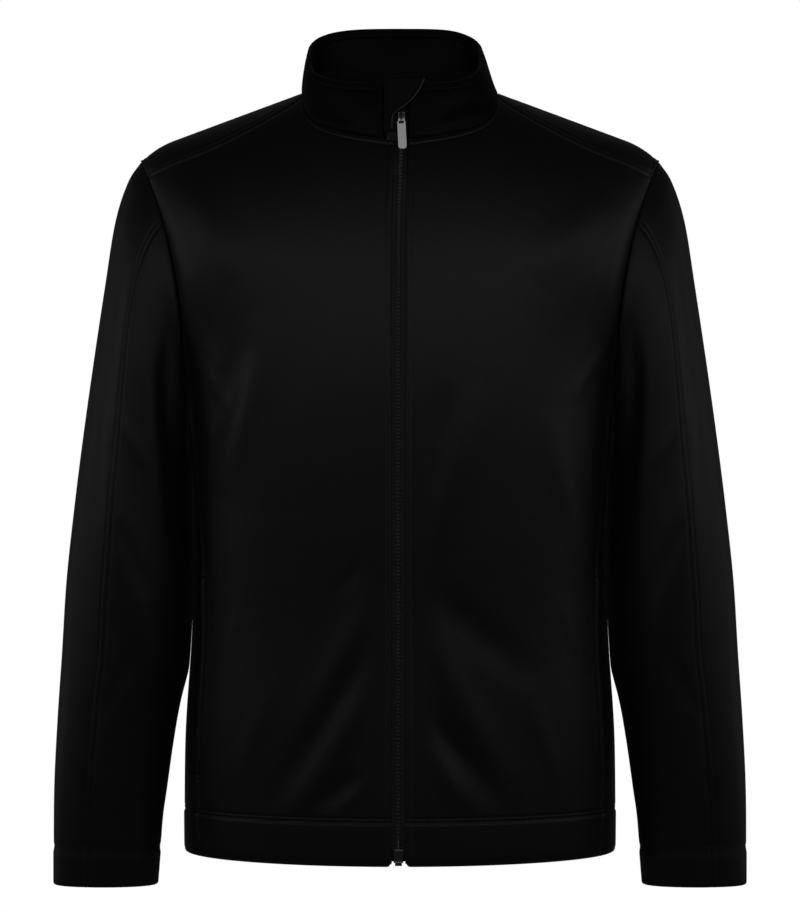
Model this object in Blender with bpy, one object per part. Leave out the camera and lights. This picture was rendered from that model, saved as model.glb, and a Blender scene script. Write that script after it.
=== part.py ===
"""Stand-collar fleece jacket with a full-length zip, filled out as it is when worn.

The origin is the middle of the neck at the height of the two shoulder-neck points.
+Z is up, the front faces -Y and the wearer's left is +X. Sizes are in millimetres
and become metres where a mesh is made.
"""

import math

import bmesh
import bpy
from mathutils import Matrix, Vector

MM = 0.001

# Cloth and seams
WALL = 2.0
COLLAR_WALL = 3.5
SEAM_GAP = 0.34
CUT_BACK = 0.17
FACING_WALL = 1.0
TAPE_WALL = 0.6

# Body of the garment
HEM_Z = -716.0
UNDERARM_Z = -290.0
UNDERARM_X = 200.0
SHOULDER_X = 245.0
SHOULDER_Z = -64.0
ARMHOLE_FLARE = 2.46
ARMHOLE_FRONT_DEPTH = 62.0
ARMHOLE_BACK_DEPTH = 68.0
NECK_X = 93.0
NECK_FRONT_Z = -51.0
NECK_BACK_Y = 72.0
FRONT_RIDGE_Z = 10.0
BACK_RIDGE_Z = 60.0
SHOULDER_FALL = -0.37
SHOULDER_TURN_X = 215.0
SHOULDER_TURN_DROP = 8.0
NECK_CROWN = 0.72
FRONT_ARCH = 2.2
BACK_ARCH = 2.6
ZIP_X = -1.4
ZIP_TOP_X = 1.2
FRONT_EDGE = 6.2
ZIP_CALM = 18.0
FOLDS_FULL = 45.0

# One row for each level: height, half width, front depth, back depth, corner exponent
BODY_RINGS = [
    {"z": -716.0, "width": 204.0, "front": 136.0, "back": 118.0, "power": 2.00},
    {"z": -660.0, "width": 203.0, "front": 133.0, "back": 112.0, "power": 2.05},
    {"z": -600.0, "width": 201.0, "front": 129.0, "back": 106.0, "power": 2.10},
    {"z": -500.0, "width": 197.0, "front": 124.5, "back": 99.0, "power": 2.18},
    {"z": -400.0, "width": 197.0, "front": 126.5, "back": 105.0, "power": 2.25},
    {"z": -330.0, "width": 198.5, "front": 129.0, "back": 114.0, "power": 2.30},
    {"z": -290.0, "width": 200.0, "front": 130.0, "back": 119.0, "power": 2.30},
]

# One row for each level: how far round from the centre front the side seam lies (1 is the side)
SIDE_SEAM = [
    {"z": -716.0, "round": 0.775},
    {"z": -600.0, "round": 0.760},
    {"z": -500.0, "round": 0.760},
    {"z": -420.0, "round": 0.800},
    {"z": -350.0, "round": 0.900},
    {"z": -290.0, "round": 1.000},
]

# One row for each sleeve ring: outer and inner point, middle of its depth, half depths
SLEEVE_RINGS = [
    {"out_x": 245.0, "out_z": -64.0, "in_x": 200.0, "in_z": -290.0, "mid": 0.0, "front": 62.0, "back": 68.0},
    {"out_x": 258.0, "out_z": -84.0, "in_x": 203.2, "in_z": -296.0, "mid": 0.0, "front": 66.0, "back": 70.0},
    {"out_x": 270.0, "out_z": -122.0, "in_x": 203.8, "in_z": -310.0, "mid": 0.0, "front": 69.0, "back": 72.0},
    {"out_x": 280.0, "out_z": -185.0, "in_x": 204.0, "in_z": -334.0, "mid": 0.0, "front": 71.0, "back": 72.0},
    {"out_x": 291.0, "out_z": -258.0, "in_x": 204.0, "in_z": -370.0, "mid": 0.0, "front": 70.0, "back": 70.0},
    {"out_x": 301.0, "out_z": -330.0, "in_x": 204.0, "in_z": -414.0, "mid": -1.0, "front": 68.0, "back": 68.0},
    {"out_x": 309.0, "out_z": -395.0, "in_x": 204.0, "in_z": -460.0, "mid": -3.0, "front": 65.0, "back": 65.0},
    {"out_x": 316.0, "out_z": -462.0, "in_x": 204.0, "in_z": -507.0, "mid": -5.0, "front": 61.0, "back": 61.0},
    {"out_x": 320.0, "out_z": -530.0, "in_x": 205.0, "in_z": -555.0, "mid": -8.0, "front": 56.0, "back": 56.0},
    {"out_x": 324.0, "out_z": -596.0, "in_x": 211.5, "in_z": -607.0, "mid": -13.0, "front": 48.0, "back": 48.0},
    {"out_x": 326.5, "out_z": -662.0, "in_x": 221.0, "in_z": -664.0, "mid": -19.0, "front": 39.0, "back": 39.0},
    {"out_x": 328.0, "out_z": -745.0, "in_x": 229.5, "in_z": -745.0, "mid": -25.0, "front": 31.0, "back": 31.0},
]
SLEEVE_POWER = 2.15
SLEEVE_SEAM_FRONT = 63.0
SLEEVE_SEAM_BACK = -85.0
SLEEVE_SEAM_DRIFT = 14.0

# One row for each body fold: face, its two ends seen from the front, half width, height
BODY_FOLDS = [
    {"face": "front", "x0": -126.0, "z0": -234.0, "x1": -162.0, "z1": -366.0, "half": 15.0, "high": 4.5},
    {"face": "front", "x0": -143.0, "z0": -243.0, "x1": -183.0, "z1": -345.0, "half": 15.0, "high": -4.5},
    {"face": "front", "x0": -16.0, "z0": -460.0, "x1": -92.0, "z1": -606.0, "half": 12.0, "high": 4.2},
    {"face": "front", "x0": -22.0, "z0": -506.0, "x1": -110.0, "z1": -655.0, "half": 11.0, "high": -5.2},
    {"face": "front", "x0": -28.0, "z0": -552.0, "x1": -94.0, "z1": -667.0, "half": 11.0, "high": 5.8},
    {"face": "front", "x0": -40.0, "z0": -634.0, "x1": -72.0, "z1": -664.0, "half": 9.0, "high": -3.2},
    {"face": "front", "x0": 14.0, "z0": -482.0, "x1": 94.0, "z1": -640.0, "half": 12.0, "high": 5.2},
    {"face": "front", "x0": 34.0, "z0": -474.0, "x1": 116.0, "z1": -545.0, "half": 15.0, "high": -4.0},
    {"face": "front", "x0": 20.0, "z0": -574.0, "x1": 86.0, "z1": -655.0, "half": 11.0, "high": -5.2},
    {"face": "front", "x0": 20.0, "z0": -600.0, "x1": 54.0, "z1": -662.0, "half": 10.0, "high": 4.0},
    {"face": "front", "x0": 68.0, "z0": -296.0, "x1": 25.0, "z1": -440.0, "half": 15.0, "high": 4.0},
    {"face": "front", "x0": 38.0, "z0": -290.0, "x1": 16.0, "z1": -400.0, "half": 13.0, "high": -2.8},
    {"face": "front", "x0": -194.0, "z0": -96.0, "x1": -156.0, "z1": -172.0, "half": 15.0, "high": 3.8},
    {"face": "front", "x0": 190.0, "z0": -110.0, "x1": 128.0, "z1": -170.0, "half": 20.0, "high": 4.0},
    {"face": "front", "x0": 140.0, "z0": -320.0, "x1": 174.0, "z1": -446.0, "half": 13.0, "high": 3.2},
    {"face": "back", "x0": -150.0, "z0": -150.0, "x1": -60.0, "z1": -300.0, "half": 20.0, "high": 4.2},
    {"face": "back", "x0": 150.0, "z0": -160.0, "x1": 70.0, "z1": -310.0, "half": 20.0, "high": 3.8},
    {"face": "back", "x0": -150.0, "z0": -380.0, "x1": -40.0, "z1": -500.0, "half": 15.0, "high": -4.5},
    {"face": "back", "x0": 150.0, "z0": -400.0, "x1": 30.0, "z1": -520.0, "half": 15.0, "high": -4.2},
    {"face": "back", "x0": -50.0, "z0": -470.0, "x1": -90.0, "z1": -640.0, "half": 14.0, "high": 5.0},
    {"face": "back", "x0": 40.0, "z0": -490.0, "x1": 100.0, "z1": -650.0, "half": 14.0, "high": 5.0},
]

# One row for each sleeve fold: ends as angle from the outer line and height, half width, height
SLEEVE_FOLDS = [
    {"a0": 96.0, "z0": -150.0, "a1": 150.0, "z1": -430.0, "half": 15.0, "high": -6.2},
    {"a0": 122.0, "z0": -190.0, "a1": 150.0, "z1": -330.0, "half": 13.0, "high": 4.5},
    {"a0": 60.0, "z0": -330.0, "a1": 120.0, "z1": -560.0, "half": 15.0, "high": 4.0},
    {"a0": 40.0, "z0": -420.0, "a1": 80.0, "z1": -620.0, "half": 15.0, "high": -3.0},
    {"a0": -110.0, "z0": -180.0, "a1": -150.0, "z1": -400.0, "half": 16.0, "high": -5.0},
    {"a0": -60.0, "z0": -430.0, "a1": -110.0, "z1": -560.0, "half": 14.0, "high": 3.8},
]

# Collar
COLLAR_RIM_X = 90.0
COLLAR_RIM_FRONT_Y = -75.0
COLLAR_RIM_BACK_Y = 65.0
COLLAR_RIM_FRONT_Z = 1.0
COLLAR_RIM_BACK_Z = 69.0
COLLAR_RIM_POWER = 3.2
COLLAR_MID_Y = -6.5
COLLAR_HALF_Y = 78.5
COLLAR_RIGHT_EDGE = -15.5

# Zip guard, a row for each level from its strip up to its crest: height and right-hand edge
GUARD_LEFT_X = -15.1
GUARD_WALL = 1.4
GUARD_STAND = 3.6
GUARD_RISE_OVER = 9.0
GUARD_LIP = 0.8
GUARD_CREST_LEFT = 0.8
GUARD_CREST_RIGHT = 3.0
GUARD_TAIL = 12.0
GUARD_EDGE = [
    {"z": -44.0, "x": -7.0},
    {"z": -36.0, "x": -6.8},
    {"z": -30.0, "x": -6.0},
    {"z": -26.0, "x": -2.4},
    {"z": -22.0, "x": 3.0},
    {"z": -15.0, "x": 11.5},
    {"z": -7.0, "x": 18.5},
    {"z": 1.5, "x": 23.0},
]

# Pockets in the side seams
POCKET_TOP_Z = -452.0
POCKET_BOTTOM_Z = -645.0
POCKET_FACING_TURN = 0.053

# Zip
TAPE_HALF = 14.0
TAPE_CLEAR = 0.5
COIL_HALF = 3.2
COIL_DEEP = 1.7
COIL_FRONT = -0.1
BOX_TOP_Z = -702.0
BOX_BOTTOM_Z = -714.5
BOX_HALF = 4.4
SLIDER_Z = -29.5
SLIDER_LONG = 10.0
SLIDER_HALF = 4.1
SLIDER_FRONT = 1.5
SLIDER_BACK = -1.9
BRIDGE_HALF = 2.5
BRIDGE_WIRE = 0.8
BRIDGE_STAND = 2.7
LINK_INNER = 1.15
LINK_WIRE = 1.0
LINK_THICK = 1.5
LINK_DROP = 7.6
TAB_WIDE = 9.2
TAB_LONG = 29.5
TAB_THICK = 1.5
TAB_RIM = 1.1
TAB_SLOT_WIDE = 5.0
TAB_SLOT_HIGH = 2.3
TAB_LEAN = 2.6

# Mesh steps
COLUMNS = 12
NECK_COLUMNS = 5
LOWER_ROWS = 15
FRONT_ROWS = 11
BACK_ROWS = 16
SLEEVE_STEPS = 18
COLLAR_ROWS = 4
GUARD_COLUMNS = 6
GUARD_ROWS = 9
POCKET_ROWS = 8
POCKET_COLUMNS = 4
COLUMN_SPREAD = 1.15
FRONT_SPREAD = 1.35
BACK_SPREAD = 1.25

COLLECTION = "fleece_jacket"
CLOTH_COLOUR = (0.006, 0.006, 0.0065)
TRIM_COLOUR = (0.008, 0.006, 0.0065)
METAL_COLOUR = (0.03, 0.03, 0.032)
TAB_COLOUR = (0.25, 0.25, 0.25)


def clear_objects():
    """Empty the file of objects."""
    for old in list(bpy.data.objects):
        bpy.data.objects.remove(old, do_unlink=True)


def surface_finish(name, colour, roughness, metallic=0.0):
    """A Principled material."""
    material = bpy.data.materials.new(name)
    material.use_nodes = True
    shader = material.node_tree.nodes["Principled BSDF"]
    shader.inputs["Base Color"].default_value = (*colour, 1.0)
    shader.inputs["Roughness"].default_value = roughness
    shader.inputs["Metallic"].default_value = metallic
    return material


def smooth_step(value, low, high):
    """0 below low, 1 above high, smooth between."""
    part = min(1.0, max(0.0, (value - low) / (high - low)))
    return part * part * (3.0 - 2.0 * part)


def between(rows, key, column, value):
    """A column's value at key, on a smooth curve through the rows, which rise in key."""
    value = min(rows[-1][key], max(rows[0][key], value))
    last = len(rows) - 1
    index = 0
    while index < last - 1 and rows[index + 1][key] < value:
        index += 1
    low, high = rows[index], rows[index + 1]
    span = high[key] - low[key]
    part = (value - low[key]) / span

    def slope(row):
        before, after = rows[max(0, row - 1)], rows[min(last, row + 1)]
        return (after[column] - before[column]) / (after[key] - before[key])

    squared, cubed = part * part, part * part * part
    return (
        low[column] * (2 * cubed - 3 * squared + 1)
        + high[column] * (3 * squared - 2 * cubed)
        + span * slope(index) * (cubed - 2 * squared + part)
        + span * slope(index + 1) * (cubed - squared)
    )


def zip_x(z):
    """The zip's place across the front: it leans a little at the top."""
    return ZIP_X + (ZIP_TOP_X - ZIP_X) * smooth_step(z, -150.0, -35.0)


def rounded(angle, power):
    """Sine and cosine of an angle in degrees, squared off by the power."""
    sine = math.sin(math.radians(angle))
    cosine = math.cos(math.radians(angle))
    return (
        math.copysign(abs(sine) ** (2.0 / power), sine),
        math.copysign(abs(cosine) ** (2.0 / power), cosine),
    )


def lower_body(turn, z):
    """The body below the underarm: turn 0 is centre front, 1 the side and 2 centre back."""
    width, power = between(BODY_RINGS, "z", "width", z), between(BODY_RINGS, "z", "power", z)
    depth = between(BODY_RINGS, "z", "front" if turn <= 1.0 else "back", z)
    across, along = rounded(90.0 * turn, power)
    return Vector((width * across, -depth * along, z))


def ridge_height(x, back):
    """Height of the shoulder ridge, carried on over the neck as a rounded top."""
    if x >= NECK_X:
        drop = max(0.0, (x - SHOULDER_TURN_X) / (SHOULDER_X - SHOULDER_TURN_X))
        return SHOULDER_FALL * (x - NECK_X) - SHOULDER_TURN_DROP * drop * drop
    top = BACK_RIDGE_Z if back else FRONT_RIDGE_Z
    return top * (1.0 - (x / NECK_X) ** 2) ** NECK_CROWN


def upper_body(share, lift):
    """The body above the underarm: share 0 is the centre, 1 the armhole; lift 0 is the front at
    the underarm, 90 the shoulder ridge and 180 the back at the underarm."""
    back = lift > 90.0
    power = BODY_RINGS[-1]["power"]
    across, along = rounded(90.0 * share, power)
    rise, reach = rounded(180.0 - lift if back else lift, BACK_ARCH if back else FRONT_ARCH)
    ridge = ridge_height(across * SHOULDER_X, back)
    x = across * (UNDERARM_X + (SHOULDER_X - UNDERARM_X) * rise**ARMHOLE_FLARE)
    depth = BODY_RINGS[-1]["back" if back else "front"] * along * reach
    loop = ARMHOLE_BACK_DEPTH if back else ARMHOLE_FRONT_DEPTH
    loop *= math.sqrt(max(0.0, 1.0 - (2.0 * rise - 1.0) ** 2))
    weight = share ** (2.0 + 6.0 * (1.0 - smooth_step(rise, 0.0, 0.4)))
    depth += weight * loop
    z = UNDERARM_Z + (ridge - UNDERARM_Z) * rise
    return Vector((x, depth if back else -depth, z))


def turn_for_x(x, z):
    """The turn, near the centre front, at which the body is x wide."""
    width, power = between(BODY_RINGS, "z", "width", z), between(BODY_RINGS, "z", "power", z)
    return math.degrees(math.asin((x / width) ** (power / 2.0))) / 90.0


def share_for_x(x, lift):
    """The share, near the centre, at which the upper body is x wide."""
    rise = rounded(lift, FRONT_ARCH)[0]
    half = UNDERARM_X + (SHOULDER_X - UNDERARM_X) * rise**ARMHOLE_FLARE
    return math.degrees(math.asin((x / half) ** (BODY_RINGS[-1]["power"] / 2.0))) / 90.0


def arch_angle(rise, power):
    """The lift in degrees at which an arch has the rise."""
    return math.degrees(math.asin(min(1.0, rise ** (power / 2.0))))


CORNER_SHARE = share_for_x(NECK_X, 90.0)
CORNER_LIFT = 78.0


def neck_front(part):
    """Share and lift on the front neck seam: part 0 is centre front, 1 the shoulder seam."""
    ratio = math.sin(math.radians(90.0 * part))
    low = (NECK_FRONT_Z - UNDERARM_Z) / (FRONT_RIDGE_Z - UNDERARM_Z)
    high = rounded(CORNER_LIFT, FRONT_ARCH)[0]
    rise = low + (high - low) * (1.0 - (1.0 - ratio**1.5) ** 0.30)
    across = ratio * NECK_X / SHOULDER_X
    share = math.degrees(math.asin(across ** (BODY_RINGS[-1]["power"] / 2.0))) / 90.0
    return share, arch_angle(rise, FRONT_ARCH)


def neck_back(part):
    """Share and lift on the back neck seam: part 0 is centre back, 1 the shoulder seam."""
    side = 0.8
    if part > side:
        over = (part - side) / (1.0 - side)
        return CORNER_SHARE, 90.0 + (CORNER_LIFT - 90.0) * over
    across, along = rounded(90.0 * part / side, 2.4)
    share = math.degrees(math.asin((across * NECK_X / SHOULDER_X) ** (BODY_RINGS[-1]["power"] / 2.0))) / 90.0
    depth = BODY_RINGS[-1]["back"] * rounded(90.0 * share, BODY_RINGS[-1]["power"])[1]
    reach = NECK_BACK_Y * along / depth
    angle = math.degrees(math.acos(min(1.0, reach ** (BACK_ARCH / 2.0))))
    return share, 180.0 - angle


def shoulder_seam(part):
    """Share and lift on the forward shoulder seam: part 0 is the neck, 1 the armhole."""
    share = CORNER_SHARE + (1.0 - CORNER_SHARE) * part
    swing = math.sin(math.radians(90.0 * (part / 0.554) ** 0.6))
    return share, CORNER_LIFT - 15.0 * swing


def fold_height(folds, face, x, z):
    """How far the folds of a face stand out at a place seen from the front."""
    total = 0.0
    for fold in folds:
        if fold["face"] != face:
            continue
        along = Vector((fold["x1"] - fold["x0"], fold["z1"] - fold["z0"]))
        place = Vector((x - fold["x0"], z - fold["z0"]))
        part = place.dot(along) / along.length_squared
        if part <= -0.15 or part >= 1.15:
            continue
        away = abs(place.x * along.y - place.y * along.x) / along.length
        taper = math.sin(math.pi * (part + 0.15) / 1.3)
        total += fold["high"] * taper * math.exp(-((away / fold["half"]) ** 2))
    return total


def folded_body(point, normal, turn):
    """A body point moved out by the folds, which die out at the zip and at the sides."""
    face = "front" if turn <= 1.0 else "back"
    fade = smooth_step(abs(turn - 1.0), 0.02, 0.18)
    if face == "front":
        fade *= smooth_step(abs(point.x - ZIP_X), ZIP_CALM, FOLDS_FULL)
    fade *= smooth_step(point.z, HEM_Z + 34.0, HEM_Z + 62.0)
    return point + normal * (fade * fold_height(BODY_FOLDS, face, point.x, point.z))


def outward(function, first, second, step_first, step_second, centre):
    """Unit normal of a surface function, pointing away from the centre."""
    side = function(first + step_first, second) - function(first - step_first, second)
    rise = function(first, second + step_second) - function(first, second - step_second)
    normal = side.cross(rise).normalized()
    if normal.dot(function(first, second) - centre) < 0.0:
        normal.negate()
    return normal


def body_lower_point(turn, z, side):
    """Outer point and inward vector of the lower body, on the side -1 or 1."""
    def mirrored(at_turn, at_z):
        point = lower_body(min(2.0, max(0.0, at_turn)), at_z)
        return Vector((side * point.x, point.y, point.z))

    at_turn = min(1.995, max(0.005, turn))
    normal = outward(mirrored, at_turn, z, 0.004, 1.0, Vector((0.0, 0.0, z)))
    if turn >= 1.999:
        normal = Vector((0.0, 1.0, 0.0))
    return folded_body(mirrored(turn, z), normal, turn), -normal * WALL


def body_upper_point(share, lift, side):
    """Outer point and inward vector of the upper body, on the side -1 or 1."""
    def mirrored(at_share, at_lift):
        point = upper_body(min(1.0, max(0.0, at_share)), min(179.9, max(0.1, at_lift)))
        return Vector((side * point.x, point.y, point.z))

    normal = outward(mirrored, min(0.99, max(0.01, share)), lift, 0.008, 1.5, Vector((0.0, 0.0, UNDERARM_Z)))
    if share < 0.001:
        normal.x = 0.0
        normal.normalize()
    point = mirrored(share, lift)
    turn = share if lift <= 90.0 else 2.0 - share
    fade = (1.0 - share**6) * smooth_step(abs(lift - 90.0), 12.0, 40.0)
    moved = folded_body(point, normal, turn)
    point = point.lerp(moved, fade)
    if share > 0.999:
        return point, (armhole_inward(point) - normal).normalized() * WALL
    return point, -normal * WALL


def armhole_inward(point):
    """The way the edge of the armhole's cloth faces in: towards the middle of the hole."""
    middle = Vector((point.x, 0.0, 0.5 * (SHOULDER_Z + UNDERARM_Z)))
    return (middle - point).normalized()


def neck_inward(point):
    """The level way in from a point of the neck or collar."""
    return Vector((-point.x, COLLAR_MID_Y - point.y, 0.0)).normalized()


def neck_seam_point(share, lift, side):
    """Outer point and inward vector where a panel meets the collar."""
    point, inward = body_upper_point(share, lift, side)
    return point, (inward.normalized() + neck_inward(point)).normalized() * WALL


def row_shares(count, power=1.0):
    """Evenly or unevenly spaced shares from 0 to 1."""
    return [(index / count) ** power for index in range(count + 1)]


def panel_top(column, back):
    """Share and lift of a panel's top edge at a column."""
    if column <= NECK_COLUMNS:
        part = column / NECK_COLUMNS
        return neck_back(part) if back else neck_front(part)
    return shoulder_seam((column - NECK_COLUMNS) / (COLUMNS - NECK_COLUMNS))


def lower_levels():
    """Heights of the rows below the underarm."""
    return [HEM_Z + (UNDERARM_Z - HEM_Z) * row / LOWER_ROWS for row in range(LOWER_ROWS + 1)]


def arch_height(lift):
    """Height of the centre front at a lift."""
    return UNDERARM_Z + (FRONT_RIDGE_Z - UNDERARM_Z) * rounded(lift, FRONT_ARCH)[0]


def front_edge(side, z):
    """How far from the middle a front's zip edge lies."""
    return FRONT_EDGE + side * zip_x(z)


def front_grid(side):
    """Outer points and inward vectors of one front, as columns from the zip to the side."""
    grid = []
    for column in range(COLUMNS + 1):
        across = (column / COLUMNS) ** COLUMN_SPREAD
        points = []
        for z in lower_levels():
            start, end = turn_for_x(front_edge(side, z), z), between(SIDE_SEAM, "z", "round", z)
            points.append(body_lower_point(start + (end - start) * across, z, side))
        start = turn_for_x(front_edge(side, UNDERARM_Z), UNDERARM_Z)
        low_share = start + (1.0 - start) * across
        top_share, top_lift = panel_top(column, False)
        for part in row_shares(FRONT_ROWS, FRONT_SPREAD)[1:]:
            share = low_share + (top_share - low_share) * part
            if column == 0:
                lift = top_lift * part
                share = share_for_x(front_edge(side, arch_height(lift)), lift)
            at_top = part > 0.999 and column <= NECK_COLUMNS
            place = neck_seam_point if at_top else body_upper_point
            points.append(place(share, top_lift * part, side))
        grid.append(points)
    return grid


def back_half_grid(side):
    """Outer points and inward vectors of half the back, as columns from the middle to the side."""
    grid = []
    for column in range(COLUMNS + 1):
        across = column / COLUMNS
        points = []
        for z in lower_levels():
            end = between(SIDE_SEAM, "z", "round", z)
            points.append(body_lower_point(2.0 - (2.0 - end) * across, z, side))
        top_share, top_lift = panel_top(column, True)
        for part in row_shares(BACK_ROWS, BACK_SPREAD)[1:]:
            share = across + (top_share - across) * part
            at_top = part > 0.999 and column <= NECK_COLUMNS
            place = neck_seam_point if at_top else body_upper_point
            points.append(place(share, 180.0 + (top_lift - 180.0) * part, side))
        grid.append(points)
    return grid


def cut_back(grid, edges):
    """Move the named edges of a grid a little into the piece, to leave the seam's gap."""
    last_column, last_row = len(grid) - 1, len(grid[0]) - 1

    def shift(column, row, near_column, near_row):
        point, inward = grid[column][row]
        near = grid[near_column][near_row][0]
        grid[column][row] = (point + (near - point).normalized() * CUT_BACK, inward)

    for row in range(last_row + 1):
        if "first" in edges:
            shift(0, row, 1, row)
        if "last" in edges:
            shift(last_column, row, last_column - 1, row)
    for column in range(last_column + 1):
        if "bottom" in edges:
            shift(column, 0, column, 1)
        if "top" in edges:
            shift(column, last_row, column, last_row - 1)
    return grid


def new_object(name, mesh_builder, material, parent=None):
    """An object from a bmesh in millimetres, shaded smooth."""
    for vertex in mesh_builder.verts:
        vertex.co *= MM
    mesh = bpy.data.meshes.new(name)
    mesh_builder.to_mesh(mesh)
    mesh_builder.free()
    mesh.shade_smooth()
    mesh.set_sharp_from_angle(angle=math.radians(40.0))
    mesh.materials.append(material)
    made = bpy.data.objects.new(name, mesh)
    bpy.data.collections[COLLECTION].objects.link(made)
    made.parent = parent
    return made


def wall(name, grid, material):
    """A closed cloth wall on a grid of outer points with their inward vectors."""
    columns, rows = len(grid) - 1, len(grid[0]) - 1
    builder = bmesh.new()
    bmesh.ops.create_grid(builder, x_segments=columns, y_segments=rows, size=1.0)
    place = builder.verts.layers.int.new("place")
    for vertex in builder.verts:
        column = round((vertex.co.x + 1.0) / 2.0 * columns)
        row = round((vertex.co.y + 1.0) / 2.0 * rows)
        vertex[place] = column * (rows + 1) + row
        vertex.co = grid[column][row][0]
    raised = bmesh.ops.extrude_face_region(builder, geom=builder.faces[:])
    for vertex in raised["geom"]:
        if isinstance(vertex, bmesh.types.BMVert):
            column, row = divmod(vertex[place], rows + 1)
            vertex.co += grid[column][row][1]
    bmesh.ops.recalc_face_normals(builder, faces=builder.faces[:])
    return new_object(name, builder, material)


def torso_pieces(cloth):
    """The two fronts and the back."""
    for side, word in ((-1, "right"), (1, "left")):
        grid = cut_back(front_grid(side), {"last", "top"})
        wall(f"front_{word}", grid, cloth)
    right, left = back_half_grid(-1), back_half_grid(1)
    wall("back", cut_back(right[:0:-1] + left, {"first", "last", "top"}), cloth)


def sleeve_loop():
    """The armhole's points from the underarm up the back, over the top and down the front, as
    lifts, for the sleeve's ring to start from."""
    back_end = shoulder_seam(1.0)[1]
    back = [180.0 + (back_end - 180.0) * part for part in row_shares(BACK_ROWS, BACK_SPREAD)]
    front = [back_end * part for part in reversed(row_shares(FRONT_ROWS, FRONT_SPREAD)[:-1])]
    return back + front


def loop_angle(lift):
    """The angle from the outer line, front positive, of a point of the armhole."""
    back = lift > 90.0
    rise = rounded(180.0 - lift if back else lift, BACK_ARCH if back else FRONT_ARCH)[0]
    angle = math.degrees(math.acos(max(-1.0, min(1.0, 2.0 * rise - 1.0))))
    return -angle if back else angle


def sleeve_row(part):
    """The sleeve's ring sizes at a part of its length, 0 at the armhole and 1 at the cuff."""
    last = len(SLEEVE_RINGS) - 1
    rows = [{"part": index / last, **ring} for index, ring in enumerate(SLEEVE_RINGS)]
    keys = ("out_x", "out_z", "in_x", "in_z", "mid", "front", "back")
    return {key: between(rows, "part", key, part) for key in keys}


def sleeve_base(angle, part):
    """A point of the left sleeve: angle from the outer line and part of the length."""
    ring = sleeve_row(part)
    across, along = rounded(angle, 2.0 + (SLEEVE_POWER - 2.0) * smooth_step(part, 0.0, 0.2))
    middle_x, middle_z = 0.5 * (ring["out_x"] + ring["in_x"]), 0.5 * (ring["out_z"] + ring["in_z"])
    reach_x, reach_z = 0.5 * (ring["out_x"] - ring["in_x"]), 0.5 * (ring["out_z"] - ring["in_z"])
    depth = ring["front"] if across > 0.0 else ring["back"]
    rise = 0.5 * (1.0 + along)
    bow = (SHOULDER_X - UNDERARM_X) * (rise**ARMHOLE_FLARE - rise) * (1.0 - smooth_step(part, 0.0, 0.3))
    return Vector((middle_x + reach_x * along + bow, ring["mid"] - depth * across, middle_z + reach_z * along))


def sleeve_fold_height(angle, z, girth):
    """How far the sleeve's folds stand out at an angle and height."""
    total = 0.0
    for fold in SLEEVE_FOLDS:
        part = (z - fold["z0"]) / (fold["z1"] - fold["z0"])
        if part <= -0.15 or part >= 1.15:
            continue
        away = angle - (fold["a0"] + (fold["a1"] - fold["a0"]) * part)
        away = abs((away + 180.0) % 360.0 - 180.0) * girth / 360.0
        taper = math.sin(math.pi * (part + 0.15) / 1.3)
        total += fold["high"] * taper * math.exp(-((away / fold["half"]) ** 2))
    return total


def sleeve_point(angle, part, side):
    """Outer point and inward vector of a sleeve on the side -1 or 1."""
    def mirrored(at_angle, at_part):
        point = sleeve_base(at_angle, min(1.0, max(0.0, at_part)))
        return Vector((side * point.x, point.y, point.z))

    point = mirrored(angle, part)
    ring = sleeve_row(part)
    middle = Vector((side * 0.5 * (ring["out_x"] + ring["in_x"]), ring["mid"], 0.5 * (ring["out_z"] + ring["in_z"])))
    normal = outward(mirrored, angle, max(0.012, part), 2.0, 0.01, middle)
    if part < 0.001:
        inward = (armhole_inward(point) - normal).normalized()
        return point + Vector((side * SEAM_GAP, 0.0, 0.0)), inward * WALL
    girth = math.pi * (0.5 * (ring["out_x"] - ring["in_x"]) + ring["front"])
    fade = smooth_step(part, 0.04, 0.14) * (1.0 - smooth_step(part, 0.86, 0.95))
    away_from_body = smooth_step(180.0 - abs(angle), 0.0, 25.0)
    point = point + normal * (fade * away_from_body * sleeve_fold_height(angle, point.z, girth))
    return point, -normal * WALL


def sleeve_grid(lifts, side):
    """Outer points and inward vectors of a sleeve piece, a column for each armhole lift."""
    grid = []
    for lift in lifts:
        start = loop_angle(lift)
        points = []
        for step in range(SLEEVE_STEPS + 1):
            part = step / SLEEVE_STEPS
            drift = SLEEVE_SEAM_DRIFT * smooth_step(part, 0.0, 0.5) * math.sin(math.radians(max(0.0, start)))
            points.append(sleeve_point(start + drift, part, side))
        grid.append(points)
    return grid


def sleeve_pieces(cloth):
    """A top sleeve and an under sleeve on each side."""
    lifts = sleeve_loop()
    back_seam = min(range(len(lifts)), key=lambda at: abs(loop_angle(lifts[at]) - SLEEVE_SEAM_BACK))
    front_seam = min(range(len(lifts)), key=lambda at: abs(loop_angle(lifts[at]) - SLEEVE_SEAM_FRONT))
    for side, word in ((-1, "right"), (1, "left")):
        top = sleeve_grid(lifts[back_seam : front_seam + 1], side)
        wall(f"top_sleeve_{word}", cut_back(top, {"first", "last"}), cloth)
        under = sleeve_grid(lifts[front_seam:] + lifts[1 : back_seam + 1], side)
        wall(f"under_sleeve_{word}", cut_back(under, {"first", "last"}), cloth)


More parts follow.
